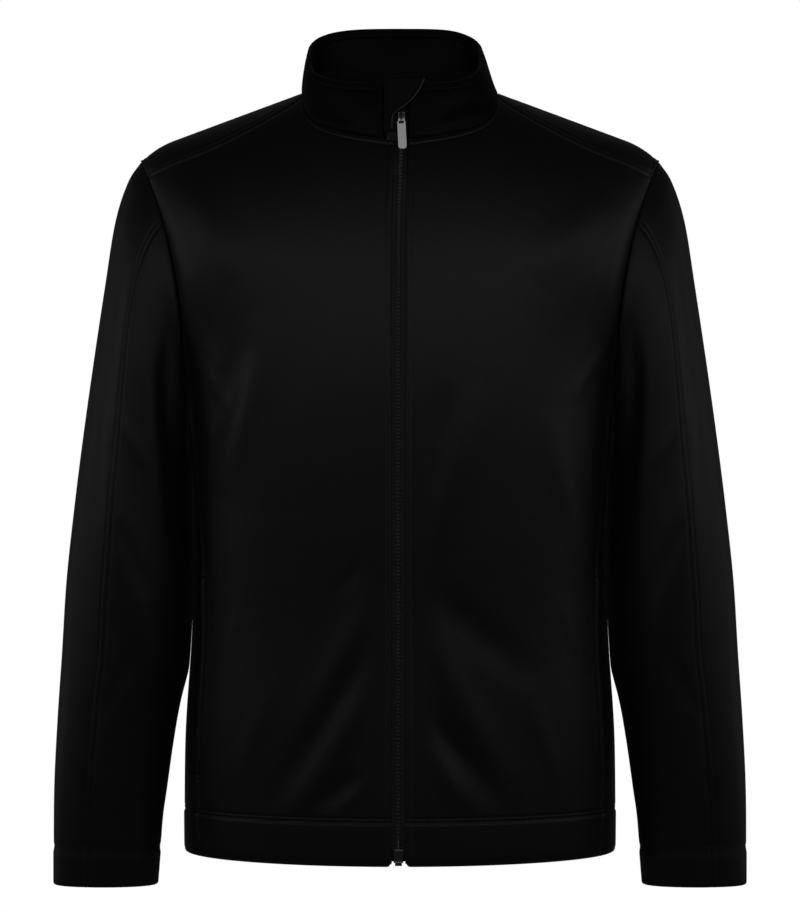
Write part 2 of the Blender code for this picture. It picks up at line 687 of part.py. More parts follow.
def rim_point(base):
    """The collar's rim above a point of its base."""
    across, along = base.x / NECK_X, (COLLAR_MID_Y - base.y) / COLLAR_HALF_Y
    size = (abs(across) ** COLLAR_RIM_POWER + abs(along) ** COLLAR_RIM_POWER) ** (1.0 / COLLAR_RIM_POWER)
    across, along = across / size, along / size
    middle_y = 0.5 * (COLLAR_RIM_FRONT_Y + COLLAR_RIM_BACK_Y)
    half_y = 0.5 * (COLLAR_RIM_BACK_Y - COLLAR_RIM_FRONT_Y)
    middle_z = 0.5 * (COLLAR_RIM_FRONT_Z + COLLAR_RIM_BACK_Z)
    half_z = 0.5 * (COLLAR_RIM_BACK_Z - COLLAR_RIM_FRONT_Z)
    return Vector((COLLAR_RIM_X * across, middle_y - half_y * along, middle_z - half_z * along))


def collar_base(side):
    """The neck seam's points on one side, from centre back to centre front."""
    back = [neck_back(column / NECK_COLUMNS) for column in range(NECK_COLUMNS + 1)]
    front = [neck_front(column / NECK_COLUMNS) for column in range(NECK_COLUMNS - 1, 0, -1)]
    lift = neck_front(0.0)[1]
    front.append((share_for_x(front_edge(side, NECK_FRONT_Z), lift), lift))
    points = []
    for share, lift in back + front:
        point = upper_body(share, lift)
        points.append(Vector((side * point.x, point.y, point.z)))
    if side < 0:
        near, end = points[-2], points[-1]
        points[-1] = near.lerp(end, (near.x - COLLAR_RIGHT_EDGE) / (near.x - end.x))
    return points


def collar_column(base, at_edge=False):
    """Points and inward vectors from the neck seam up to the rim."""
    start = base + Vector((0.0, 0.0, SEAM_GAP))
    rim = rim_point(base)
    if at_edge:
        rim.x = base.x
    column = []
    for row in range(COLLAR_ROWS + 1):
        point = start.lerp(rim, row / COLLAR_ROWS)
        inward = Vector((0.0, 1.0, 0.0)) if at_edge else neck_inward(point)
        column.append((point, inward * COLLAR_WALL))
    return column


def collar_piece(cloth):
    """The stand collar, one wall from the right front edge round the back to the left."""
    bases = collar_base(-1)[:0:-1] + collar_base(1)
    last = len(bases) - 1
    wall("collar", [collar_column(base, at in (0, last)) for at, base in enumerate(bases)], cloth)


def neck_tape_piece(cloth):
    """The tape over the back neck seam, inside the collar."""
    bases = collar_base(-1)[NECK_COLUMNS - 1 : 0 : -1] + collar_base(1)[:NECK_COLUMNS]
    grid = []
    for base in bases:
        rim = rim_point(base)
        column = []
        for height in (1.5, 6.5, 11.5):
            point = base.lerp(rim, height / (rim - base).length)
            inward = neck_inward(point)
            column.append((point + inward * (COLLAR_WALL + 0.3), inward * 0.8))
        grid.append(column)
    wall("neck_tape", grid, cloth)


def centre_levels():
    """Heights of the rows along the zip: on the fronts, then up the collar."""
    top_lift = neck_front(0.0)[1]
    upper = [arch_height(top_lift * part) for part in row_shares(FRONT_ROWS, FRONT_SPREAD)[1:]]
    rise = COLLAR_RIM_FRONT_Z - NECK_FRONT_Z
    collar = [NECK_FRONT_Z + rise * row / COLLAR_ROWS for row in range(1, COLLAR_ROWS + 1)]
    return lower_levels() + upper + collar


def exact_face(x, z):
    """The outer face near the centre front at one of the rows."""
    if z <= UNDERARM_Z + 0.01:
        point = lower_body(turn_for_x(abs(x), z), z)
        return Vector((x, point.y, z))
    lift = arch_angle((min(z, NECK_FRONT_Z) - UNDERARM_Z) / (FRONT_RIDGE_Z - UNDERARM_Z), FRONT_ARCH)
    point = upper_body(share_for_x(abs(x), lift), lift)
    part = max(0.0, z - NECK_FRONT_Z) / (COLLAR_RIM_FRONT_Z - NECK_FRONT_Z)
    base = Vector((x, point.y, point.z))
    return Vector((x, base.y + (rim_point(base).y - base.y) * part, z))


def front_face(x, z):
    """The outer face near the centre front, straight between the rows as the fronts are."""
    levels = centre_levels()
    index = 0
    while index < len(levels) - 2 and levels[index + 1] < z:
        index += 1
    low, high = levels[index], levels[index + 1]
    return exact_face(x, low).lerp(exact_face(x, high), (z - low) / (high - low))


def front_normal(z):
    """Outward normal of the centre front at a height."""
    rise = front_face(0.5, z + 2.0) - front_face(0.5, z - 2.0)
    return Vector((0.0, -rise.z, rise.y)).normalized()


def zip_strip(name, left, right, low, high, front, back, material, columns=1):
    """A strip along the centre front between two places off the zip's line; front and back are
    heights off the cloth's face, or functions of z that give them."""
    levels = [low] + [z for z in centre_levels() if low + 3.0 < z < high - 3.0] + [high]
    grid = []
    for column in range(columns + 1):
        points = []
        for z in levels:
            x = zip_x(z) + left + (right - left) * column / columns
            near = front(z) if callable(front) else front
            far = back(z) if callable(back) else back
            normal = front_normal(z)
            points.append((front_face(x, z) + normal * near, -normal * (near - far)))
        grid.append(points)
    return wall(name, grid, material)


def tape_depth(z):
    """How far behind the face the zip tape's front lies: deeper behind the thicker collar."""
    return -(WALL + 0.45) - (COLLAR_WALL - WALL + 0.1) * smooth_step(z, -74.0, -56.0)


def zip_pieces(trim, coil, metal):
    """Tapes, closed coil, open coil ends and the box at the hem."""
    top = COLLAR_RIM_FRONT_Z - 3.0
    slider_top = SLIDER_Z + 0.5 * SLIDER_LONG
    slider_bottom = SLIDER_Z - 0.5 * SLIDER_LONG
    for word, left, right in (("right", -TAPE_HALF, -TAPE_CLEAR), ("left", TAPE_CLEAR, TAPE_HALF)):
        zip_strip(f"zip_tape_{word}", left, right, HEM_Z + 3.0, top, tape_depth,
                  lambda z: tape_depth(z) - TAPE_WALL, trim, columns=2)
    back = COIL_FRONT - COIL_DEEP
    zip_strip("zip_coil", -COIL_HALF, COIL_HALF, BOX_TOP_Z + 0.3, slider_bottom - 0.4,
              COIL_FRONT, back, coil)
    for word, left, right in (("right", -COIL_HALF - 0.6, -0.8), ("left", 0.8, COIL_HALF + 0.6)):
        zip_strip(f"zip_coil_top_{word}", left, right, slider_top + 0.4, top - 2.0,
                  COIL_FRONT, back, coil)
    zip_strip("zip_bottom_box", -BOX_HALF, BOX_HALF, BOX_BOTTOM_Z, BOX_TOP_Z, 0.7, back, metal)


def pocket_facings(cloth):
    """The facing strip behind each pocket's slit in the side seam."""
    for side, word in ((-1, "right"), (1, "left")):
        grid = []
        for across in row_shares(POCKET_COLUMNS):
            off_seam = 2.0 * across - 1.0
            points = []
            for part in row_shares(POCKET_ROWS):
                z = POCKET_BOTTOM_Z + (POCKET_TOP_Z - POCKET_BOTTOM_Z) * part
                turn = between(SIDE_SEAM, "z", "round", z) + off_seam * POCKET_FACING_TURN
                point, inward = body_lower_point(turn, z, side)
                inward = inward.normalized()
                behind = WALL + 0.35 + 1.6 * abs(off_seam)
                points.append((point + inward * behind, inward * FACING_WALL))
            grid.append(points)
        wall(f"pocket_facing_{word}", grid, cloth)


def guard_piece(trim):
    """The zip guard: from the right collar's edge over the zip's top and the rim to the inside."""
    low, high = GUARD_EDGE[0]["z"], GUARD_EDGE[-1]["z"]
    reach = COLLAR_WALL + 2.0 * (GUARD_STAND + 0.9)
    grid = []
    for across in row_shares(GUARD_COLUMNS):
        points = []
        for part in row_shares(GUARD_ROWS):
            z = low + (high - low) * part
            x = GUARD_LEFT_X + (between(GUARD_EDGE, "z", "x", z) - GUARD_LEFT_X) * across
            normal = front_normal(min(z, COLLAR_RIM_FRONT_Z - 9.0))
            stand = GUARD_STAND * smooth_step(x, GUARD_LEFT_X, GUARD_LEFT_X + GUARD_RISE_OVER)
            stand += GUARD_LIP * smooth_step(across, 0.6, 1.0)
            crest = GUARD_CREST_LEFT + (GUARD_CREST_RIGHT - GUARD_CREST_LEFT) * across
            crest *= smooth_step(part, 0.5, 1.0)
            point = front_face(x, z) + normal * stand + Vector((0.0, 0.0, crest))
            points.append((point, -normal * GUARD_WALL))
        middle = points[-1][0] + Vector((0.0, 0.5 * reach, 0.0))
        for angle in (45.0, 90.0, 135.0, 180.0):
            turn = math.radians(angle)
            way = Vector((0.0, -math.cos(turn), math.sin(turn)))
            points.append((middle + 0.5 * reach * Vector((0.0, way.y, 0.9 * way.z)), -way * GUARD_WALL))
        end = points[-1][0]
        for drop in (0.5 * GUARD_TAIL, GUARD_TAIL):
            points.append((end + Vector((0.0, -0.12 * drop, -drop)), Vector((0.0, -GUARD_WALL, 0.0))))
        grid.append(points)
    wall("zip_guard", grid, trim)


def primitive_box(name, low, high, bevel, material, parent):
    """A bevelled box between two corners."""
    builder = bmesh.new()
    bmesh.ops.create_cube(builder, size=1.0)
    for vertex in builder.verts:
        part = vertex.co + Vector((0.5, 0.5, 0.5))
        vertex.co = Vector(low[axis] + (high[axis] - low[axis]) * part[axis] for axis in range(3))
    bmesh.ops.bevel(builder, geom=builder.edges[:], offset=bevel, segments=1, profile=0.5,
                    affect="EDGES", material=-1)
    return new_object(name, builder, material, parent)


def united(body, other):
    """The first object with the second joined to it, the second removed."""
    joined = body.modifiers.new("join", "BOOLEAN")
    joined.operation = "UNION"
    joined.object = other
    graph = bpy.context.evaluated_depsgraph_get()
    mesh = bpy.data.meshes.new_from_object(body.evaluated_get(graph))
    body.modifiers.remove(joined)
    body.data = mesh
    bpy.data.objects.remove(other, do_unlink=True)
    return body


def ring_outline(radius, drop, steps):
    """A long loop in the YZ plane: half circles of the radius about 0 and about the drop below."""
    points = []
    for step in range(steps + 1):
        turn = math.pi * step / steps
        points.append((radius * math.cos(turn), radius * math.sin(turn)))
    for step in range(steps + 1):
        turn = math.pi + math.pi * step / steps
        points.append((radius * math.cos(turn), radius * math.sin(turn) - drop))
    return points


def curve_plate(name, outlines, half, material, parent, turn=None):
    """A flat plate from closed outlines, inner ones cut through, of the half thickness."""
    curve = bpy.data.curves.new(name, "CURVE")
    curve.dimensions = "2D"
    curve.fill_mode = "BOTH"
    curve.extrude = half * MM
    for outline in outlines:
        spline = curve.splines.new("POLY")
        spline.points.add(len(outline) - 1)
        for point, place in zip(spline.points, outline):
            point.co = (place[0] * MM, place[1] * MM, 0.0, 1.0)
        spline.use_cyclic_u = True
    shape = bpy.data.objects.new(name, curve)
    bpy.data.collections[COLLECTION].objects.link(shape)
    bpy.context.view_layer.update()
    graph = bpy.context.evaluated_depsgraph_get()
    mesh = bpy.data.meshes.new_from_object(shape.evaluated_get(graph))
    bpy.data.objects.remove(shape, do_unlink=True)
    builder = bmesh.new()
    builder.from_mesh(mesh)
    bmesh.ops.remove_doubles(builder, verts=builder.verts[:], dist=0.00001)
    for vertex in builder.verts:
        vertex.co /= MM
        if turn:
            vertex.co = turn @ vertex.co
    bmesh.ops.recalc_face_normals(builder, faces=builder.faces[:])
    return new_object(name, builder, material, parent)


def tab_outline(steps=6):
    """The pull tab's outline about the middle of its top rim, long side down."""
    half, corner = 0.5 * TAB_WIDE, 0.36 * TAB_WIDE
    top, bottom = 0.5 * TAB_RIM, 0.5 * TAB_RIM - TAB_LONG
    corners = (
        (half - corner, top - corner, 0.0),
        (-half + corner, top - corner, 90.0),
        (-half + corner, bottom + corner, 180.0),
        (half - corner, bottom + corner, 270.0),
    )
    points = []
    for x, y, start in corners:
        for step in range(steps + 1):
            turn = math.radians(start + 90.0 * step / steps)
            points.append((x + corner * math.cos(turn), y + corner * math.sin(turn)))
    return points


def slider_pieces(metal, tab_finish):
    """The slider with its bridge, the link through the bridge and the pull tab on the link."""
    normal = front_normal(SLIDER_Z)
    lean = math.atan2(normal.z, -normal.y)
    base = bpy.data.objects.new("slider_place", None)
    bpy.data.collections[COLLECTION].objects.link(base)
    place = front_face(zip_x(SLIDER_Z), SLIDER_Z)
    base.location = place * MM
    base.rotation_euler = (-lean, 0.0, 0.0)
    half_long = 0.5 * SLIDER_LONG
    body = primitive_box("zip_slider", (-SLIDER_HALF, -SLIDER_FRONT, -half_long),
                         (SLIDER_HALF, -SLIDER_BACK, half_long), 0.7, metal, base)
    axis_y = -SLIDER_FRONT - BRIDGE_STAND
    axis_z = half_long - 2.6
    inner = BRIDGE_HALF - BRIDGE_WIRE
    for side in (-1, 1):
        post = primitive_box("post", (side * BRIDGE_HALF - BRIDGE_WIRE, axis_y - 0.6, axis_z - 0.8),
                             (side * BRIDGE_HALF + BRIDGE_WIRE, -SLIDER_FRONT + 0.4, axis_z + 0.8),
                             0.2, metal, base)
        united(body, post)
    bar = primitive_box("bar", (-inner - 0.2, axis_y - 0.56, axis_z - 0.56),
                        (inner + 0.2, axis_y + 0.56, axis_z + 0.56), 0.2, metal, base)
    united(body, bar)
    link_axis = bpy.data.objects.new("link_axis", None)
    bpy.data.collections[COLLECTION].objects.link(link_axis)
    link_axis.parent = base
    link_axis.location = Vector((0.0, axis_y, axis_z)) * MM
    upright = Matrix(((0.0, 0.0, 1.0), (1.0, 0.0, 0.0), (0.0, 1.0, 0.0)))
    rings = [ring_outline(LINK_INNER + LINK_WIRE, LINK_DROP, 6), ring_outline(LINK_INNER, LINK_DROP, 6)]
    curve_plate("pull_link", rings, 0.5 * LINK_THICK, metal, link_axis, upright)
    tab_axis = bpy.data.objects.new("tab_axis", None)
    bpy.data.collections[COLLECTION].objects.link(tab_axis)
    tab_axis.parent = link_axis
    tab_axis.location = Vector((0.0, 0.0, -LINK_DROP)) * MM
    half_slot = 0.5 * TAB_SLOT_WIDE
    slot_top = -0.5 * TAB_RIM
    slot = [(-half_slot, slot_top), (half_slot, slot_top),
            (half_slot - 0.6, slot_top - TAB_SLOT_HIGH), (-half_slot + 0.6, slot_top - TAB_SLOT_HIGH)]
    shift = math.radians(TAB_LEAN)
    flat = Matrix(((1.0, 0.0, 0.0), (0.0, 0.0, -1.0), (0.0, 1.0, 0.0)))
    tilted = Matrix(((math.cos(shift), 0.0, -math.sin(shift)), (0.0, 1.0, 0.0),
                     (math.sin(shift), 0.0, math.cos(shift))))
    curve_plate("pull_tab", [tab_outline(), slot], 0.5 * TAB_THICK, tab_finish, tab_axis, tilted @ flat)


def build():
    """Make the jacket."""
    clear_objects()
    group = bpy.data.collections.new(COLLECTION)
    bpy.context.scene.collection.children.link(group)
    cloth = surface_finish("fleece_cloth", CLOTH_COLOUR, 0.62)
    trim = surface_finish("trim_cloth", TRIM_COLOUR, 0.7)
    coil = surface_finish("zip_coil_nylon", TRIM_COLOUR, 0.45)
    metal = surface_finish("dark_metal", METAL_COLOUR, 0.35, 1.0)
    tab_finish = surface_finish("grey_tab", TAB_COLOUR, 0.5)
    torso_pieces(cloth)
    sleeve_pieces(cloth)
    collar_piece(cloth)
    neck_tape_piece(trim)
    guard_piece(trim)
    pocket_facings(cloth)
    zip_pieces(trim, coil, metal)
    slider_pieces(metal, tab_finish)


build()
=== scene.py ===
"""Looks of the stand-collar fleece jacket: its cloth, sewing, zip and studio.

Shapes are worked out in millimetres and become metres where a mesh is made. The jacket's
front faces -Y, +Z is up and the wearer's left is +X.
"""

import logging
import math
from dataclasses import dataclass
from enum import Enum

import bmesh
import bpy
import numpy as np
from mathutils import Matrix, Vector


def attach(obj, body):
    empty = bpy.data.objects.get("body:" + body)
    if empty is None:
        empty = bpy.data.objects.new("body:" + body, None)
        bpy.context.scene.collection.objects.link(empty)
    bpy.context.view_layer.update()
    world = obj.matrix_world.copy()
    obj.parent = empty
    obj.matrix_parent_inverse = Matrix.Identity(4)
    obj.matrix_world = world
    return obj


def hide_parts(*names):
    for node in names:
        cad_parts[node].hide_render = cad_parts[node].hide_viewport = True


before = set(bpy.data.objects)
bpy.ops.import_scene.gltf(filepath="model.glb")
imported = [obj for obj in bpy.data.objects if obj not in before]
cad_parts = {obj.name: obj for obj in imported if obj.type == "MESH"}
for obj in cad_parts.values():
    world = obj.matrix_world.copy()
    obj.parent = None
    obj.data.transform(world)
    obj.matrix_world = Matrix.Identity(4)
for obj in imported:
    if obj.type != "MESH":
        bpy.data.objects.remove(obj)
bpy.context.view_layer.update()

LOG = logging.getLogger("fleece_jacket")
MM = 0.001
SIDES = ((-1, "right"), (1, "left"))
Rows = tuple[dict[str, float], ...]


def table(columns: str, *rows: tuple) -> Rows:
    """Rows of named columns.

    Args:
        columns: The columns' names, with spaces between them.
        rows: One tuple of values for each row.

    Returns:
        The rows as dictionaries.
    """
    return tuple(dict(zip(columns.split(), row)) for row in rows)


# A row for each level: height, half width, front depth, back depth, corner exponent
BODY_RINGS = table(
    "z width front back power",
    (-716.0, 204.2, 136.0, 118.0, 2.00),
    (-660.0, 204.4, 133.0, 112.0, 2.05),
    (-600.0, 203.2, 129.0, 106.0, 2.10),
    (-500.0, 197.0, 124.5, 99.0, 2.18),
    (-400.0, 197.0, 126.5, 105.0, 2.25),
    (-330.0, 198.5, 129.0, 114.0, 2.30),
    (-290.0, 200.0, 130.0, 119.0, 2.30),
)

# A row for each level: how far round from the centre front the side seam lies
SIDE_SEAM = table(
    "z round",
    (-716.0, 0.775),
    (-600.0, 0.760),
    (-500.0, 0.760),
    (-420.0, 0.800),
    (-350.0, 0.900),
    (-290.0, 1.000),
)

# A row for each sleeve ring: outer point, the inner one's height, middle of its depth, half depths
SLEEVE_RINGS = table(
    "part out_x out_z in_z mid front back",
    (0 / 11, 245.0, -64.0, -290.0, 0.0, 62.0, 68.0),
    (1 / 11, 258.0, -84.0, -296.0, 0.0, 66.0, 70.0),
    (2 / 11, 270.0, -122.0, -310.0, 0.0, 69.0, 72.0),
    (3 / 11, 280.0, -185.0, -334.0, 0.0, 71.0, 72.0),
    (4 / 11, 291.0, -258.0, -370.0, 0.0, 70.0, 70.0),
    (5 / 11, 301.0, -330.0, -414.0, -1.0, 68.0, 68.0),
    (6 / 11, 309.0, -395.0, -460.0, -3.0, 65.0, 65.0),
    (7 / 11, 316.0, -462.0, -507.0, -5.0, 61.0, 61.0),
    (8 / 11, 320.0, -530.0, -555.0, -8.0, 56.0, 56.0),
    (9 / 11, 324.0, -596.0, -607.0, -13.0, 48.0, 48.0),
    (10 / 11, 326.5, -662.0, -664.0, -19.0, 39.0, 39.0),
    (11 / 11, 326.2, -745.0, -745.0, -25.0, 31.0, 31.0),
)

# How far a sleeve's inner point lies off the body's side, a row for each height
SLEEVE_OFF = table(
    "z off",
    (-745.0, 24.0),
    (-705.0, 21.0),
    (-682.0, 19.0),
    (-659.0, 15.8),
    (-614.0, 10.4),
    (-576.0, 5.8),
    (-556.0, 2.2),
    (-548.0, 0.8),
    (-541.0, 0.22),
    (-400.0, 0.22),
    (-291.0, 0.22),
    (-290.0, 0.0),
)

# A row for each fold of the fronts, seen from the front: its two ends, half width and height
FRONT_FOLDS = table(
    "x0 z0 x1 z1 half high",
    (-126.0, -234.0, -162.0, -366.0, 15.0, 4.5),
    (-143.0, -243.0, -183.0, -345.0, 15.0, -4.5),
    (-16.0, -460.0, -92.0, -606.0, 15.0, 4.4),
    (-22.0, -506.0, -110.0, -655.0, 13.0, -4.6),
    (-28.0, -552.0, -94.0, -667.0, 13.0, 4.2),
    (-40.0, -634.0, -72.0, -664.0, 9.0, -3.2),
    (14.0, -482.0, 94.0, -640.0, 15.0, 4.4),
    (34.0, -474.0, 116.0, -545.0, 17.0, -4.2),
    (20.0, -574.0, 86.0, -655.0, 13.0, -4.6),
    (20.0, -600.0, 54.0, -662.0, 10.0, 4.0),
    (68.0, -296.0, 25.0, -440.0, 15.0, 4.0),
    (38.0, -290.0, 16.0, -400.0, 13.0, -2.8),
    (-194.0, -96.0, -156.0, -172.0, 15.0, 3.8),
    (190.0, -110.0, 128.0, -170.0, 20.0, 4.0),
    (140.0, -320.0, 174.0, -446.0, 13.0, 3.2),
)

# The same for the small creases that only the cloth's face shows
FRONT_CREASES = table(
    "x0 z0 x1 z1 half high",
    (-34.0, -442.0, -58.0, -470.0, 6.0, -1.2),
    (-26.0, -636.0, -54.0, -668.0, 5.0, 1.2),
    (30.0, -618.0, 52.0, -664.0, 6.0, -1.4),
    (196.0, -150.0, 170.0, -230.0, 7.0, -1.6),
    (-192.0, -190.0, -168.0, -250.0, 7.0, -1.4),
    (186.0, -248.0, 160.0, -292.0, 6.0, 1.4),
    (-180.0, -262.0, -160.0, -300.0, 6.0, 1.2),
    (150.0, -480.0, 172.0, -540.0, 6.0, 1.3),
    (-150.0, -486.0, -172.0, -552.0, 6.0, 1.3),
    (-120.0, -560.0, -150.0, -640.0, 9.0, 1.6),
    (116.0, -560.0, 146.0, -640.0, 9.0, 1.6),
)

# The same for the back
BACK_FOLDS = table(
    "x0 z0 x1 z1 half high",
    (-150.0, -150.0, -60.0, -300.0, 20.0, 4.2),
    (150.0, -160.0, 70.0, -310.0, 20.0, 3.8),
    (-150.0, -380.0, -40.0, -500.0, 15.0, -4.5),
    (150.0, -400.0, 30.0, -520.0, 15.0, -4.2),
    (-50.0, -470.0, -90.0, -640.0, 14.0, 5.0),
    (40.0, -490.0, 100.0, -650.0, 14.0, 5.0),
    (-120.0, -430.0, -60.0, -470.0, 7.0, 1.4),
    (118.0, -450.0, 60.0, -490.0, 7.0, 1.4),
)

# A row for each sleeve fold: its ends as angle from the outer line and height
SLEEVE_FOLDS = table(
    "a0 z0 a1 z1 half high",
    (96.0, -150.0, 150.0, -430.0, 15.0, -6.2),
    (122.0, -190.0, 150.0, -330.0, 13.0, 4.5),
    (60.0, -330.0, 120.0, -560.0, 15.0, 4.0),
    (40.0, -420.0, 80.0, -620.0, 15.0, -3.0),
    (-110.0, -180.0, -150.0, -400.0, 16.0, -5.0),
    (-60.0, -430.0, -110.0, -560.0, 14.0, 3.8),
    (84.0, -410.0, 104.0, -470.0, 6.0, -1.6),
    (70.0, -300.0, 96.0, -350.0, 7.0, 1.2),
    (100.0, -520.0, 84.0, -580.0, 6.0, -1.4),
)

# A row for each dent and ridge of the collar's front
COLLAR_FOLDS = table(
    "x0 z0 x1 z1 half high",
    (-34.0, -8.0, -27.0, -40.0, 9.0, 1.3),
    (-68.0, -8.0, -50.0, -36.0, 10.0, -1.7),
    (36.0, -30.0, 72.0, -10.0, 8.0, -1.5),
    (32.0, -42.0, 84.0, -24.0, 6.0, 1.2),
    (80.0, -6.0, 88.0, -34.0, 8.0, -1.2),
)

# The zip guard, a row for each level: height and right-hand edge
GUARD_EDGE = table(
    "z x",
    (-44.0, -7.0),
    (-36.0, -6.8),
    (-30.0, -6.0),
    (-26.0, -2.4),
    (-22.0, 3.0),
    (-15.0, 11.5),
    (-7.0, 18.5),
    (1.5, 23.0),
)


def smooth_step(values: np.ndarray, low: float, high: float) -> np.ndarray:
    """0 below low, 1 above high and smooth between.

    Args:
        values: Any array.
        low: Where the step starts.
        high: Where it ends.

    Returns:
        The step's height for each value.
    """
    part = np.clip((np.asarray(values, float) - low) / (high - low), 0.0, 1.0)
    return part * part * (3.0 - 2.0 * part)


def through(rows: Rows, key: str, column: str, values: np.ndarray) -> np.ndarray:
    """A column's value on a smooth curve through a table's rows.

    Args:
        rows: The table, which rises in its key.
        key: The key column.
        column: The column that is read.
        values: The places along the key.

    Returns:
        The column's value for each place.
    """
    keys = np.array([row[key] for row in rows])
    levels = np.array([row[column] for row in rows])
    order = np.arange(len(rows))
    before, after = np.maximum(order - 1, 0), np.minimum(order + 1, len(rows) - 1)
    slopes = (levels[after] - levels[before]) / (keys[after] - keys[before])
    places = np.clip(np.asarray(values, float), keys[0], keys[-1])
    at = np.clip(np.searchsorted(keys, places) - 1, 0, len(rows) - 2)
    span = keys[at + 1] - keys[at]
    part = (places - keys[at]) / span
    squared, cubed = part * part, part * part * part
    return (
        levels[at] * (2.0 * cubed - 3.0 * squared + 1.0)
        + levels[at + 1] * (3.0 * squared - 2.0 * cubed)
        + span * slopes[at] * (cubed - 2.0 * squared + part)
        + span * slopes[at + 1] * (cubed - squared)
    )


def rounded(angle: np.ndarray, power: np.ndarray) -> tuple[np.ndarray, np.ndarray]:
    """Sine and cosine of an angle, squared off.

    Args:
        angle: Angles in degrees.
        power: 2 for a circle, more for a squarer curve.

    Returns:
        The squared-off sines and cosines.
    """
    sine, cosine = np.sin(np.radians(angle)), np.cos(np.radians(angle))
    squarer = 2.0 / power
    return np.sign(sine) * np.abs(sine) ** squarer, np.sign(cosine) * np.abs(cosine) ** squarer


def unit(vectors: np.ndarray) -> np.ndarray:
    """Vectors brought to a length of 1."""
    return vectors / np.maximum(np.linalg.norm(vectors, axis=-1, keepdims=True), 1e-9)


def mirrored(points: np.ndarray, side: int) -> np.ndarray:
    """Points of the wearer's left side, turned to the side -1 or 1."""
    return points * np.array([side, 1.0, 1.0])


def spaced(length: float, step: float, *fine: float) -> np.ndarray:
    """Places along a length, closer together round the named ones.

    Args:
        length: The whole length.
        step: The usual distance between places.
        fine: Places that get rows 0.9 apart on both sides.

    Returns:
        The places as shares of the length, from 0 to 1.
    """
    near = [place + 0.9 * index for place in fine for index in range(-4, 5)]
    near = sorted({round(place, 3) for place in near if -0.01 <= place <= length + 0.01})
    usual = [place for place in np.linspace(0.0, length, max(2, round(length / step) + 1))
             if all(abs(place - other) > 0.55 * step for other in near)]
    places = np.array(sorted([0.0, length] + [place for place in usual + near if 0.4 < place < length - 0.4]))
    return places / length


def lengths_along(line: np.ndarray) -> np.ndarray:
    """The length of a line up to each of its points."""
    return np.insert(np.linalg.norm(np.diff(line, axis=0), axis=1).cumsum(), 0, 0.0)


def read_line(places: np.ndarray, lengths: np.ndarray, line: np.ndarray) -> np.ndarray:
    """Points or normals of a line.

    Args:
        places: How far along the line they lie.
        lengths: The line's lengths up to each of its own points.
        line: The line's own points or normals.

    Returns:
        One point or normal for each place.
    """
    return np.stack([np.interp(places, lengths, line[:, axis]) for axis in range(3)], axis=-1)


def squared_part(ratio: np.ndarray, power: float | np.ndarray) -> np.ndarray:
    """The part of a quarter turn, 0 to 1, at which a squared-off sine has a value."""
    return np.degrees(np.arcsin(ratio ** (power / 2.0))) / 90.0


def fold_field(folds: Rows, x: np.ndarray, z: np.ndarray) -> np.ndarray:
    """How far folds stand out at places seen from the front.

    Args:
        folds: The table of folds.
        x: The places' x.
        z: The places' z.

    Returns:
        The height at each place.
    """
    total = np.zeros_like(x)
    for fold in folds:
        along = np.array([fold["x1"] - fold["x0"], fold["z1"] - fold["z0"]])
        length = np.hypot(*along)
        off_x, off_z = x - fold["x0"], z - fold["z0"]
        part = (off_x * along[0] + off_z * along[1]) / length**2
        away = (off_x * along[1] - off_z * along[0]) / length
        taper = np.sin(math.pi * np.clip((part + 0.15) / 1.3, 0.0, 1.0))
        total += fold["high"] * taper * np.exp(-((away / fold["half"]) ** 2))
    return total


def eased(points: np.ndarray, level: float, reach: float, share: np.ndarray) -> np.ndarray:
    """A panel's points with the bend across one level eased.

    Args:
        points: Columns by rows by 3.
        level: The height of the bend.
        reach: How far above and below it the easing goes.
        share: How fully each column is eased, 0 to 1.

    Returns:
        The points.
    """
    near = np.exp(-(((points[..., 2] - level) / reach) ** 2)) * share
    soft = points.copy()
    for _ in range(260):
        middle = 0.5 * (soft[:, :-2] + soft[:, 2:])
        soft[:, 1:-1] += 0.8 * near[:, 1:-1, None] * (middle - soft[:, 1:-1])
    return soft


@dataclass(frozen=True)
class ZipLine:
    """Where the zip runs down the centre front."""

    low_x: float = -1.4
    top_x: float = 1.2
    half_gap: float = 6.2

    def x(self, z: np.ndarray) -> np.ndarray:
        """The zip's place across the front, leaning a little at the top."""
        return self.low_x + (self.top_x - self.low_x) * smooth_step(z, -150.0, -35.0)

    def edge(self, side: int, z: np.ndarray) -> np.ndarray:
        """How far from the middle a front's zip edge lies."""
        return self.half_gap + side * self.x(z)


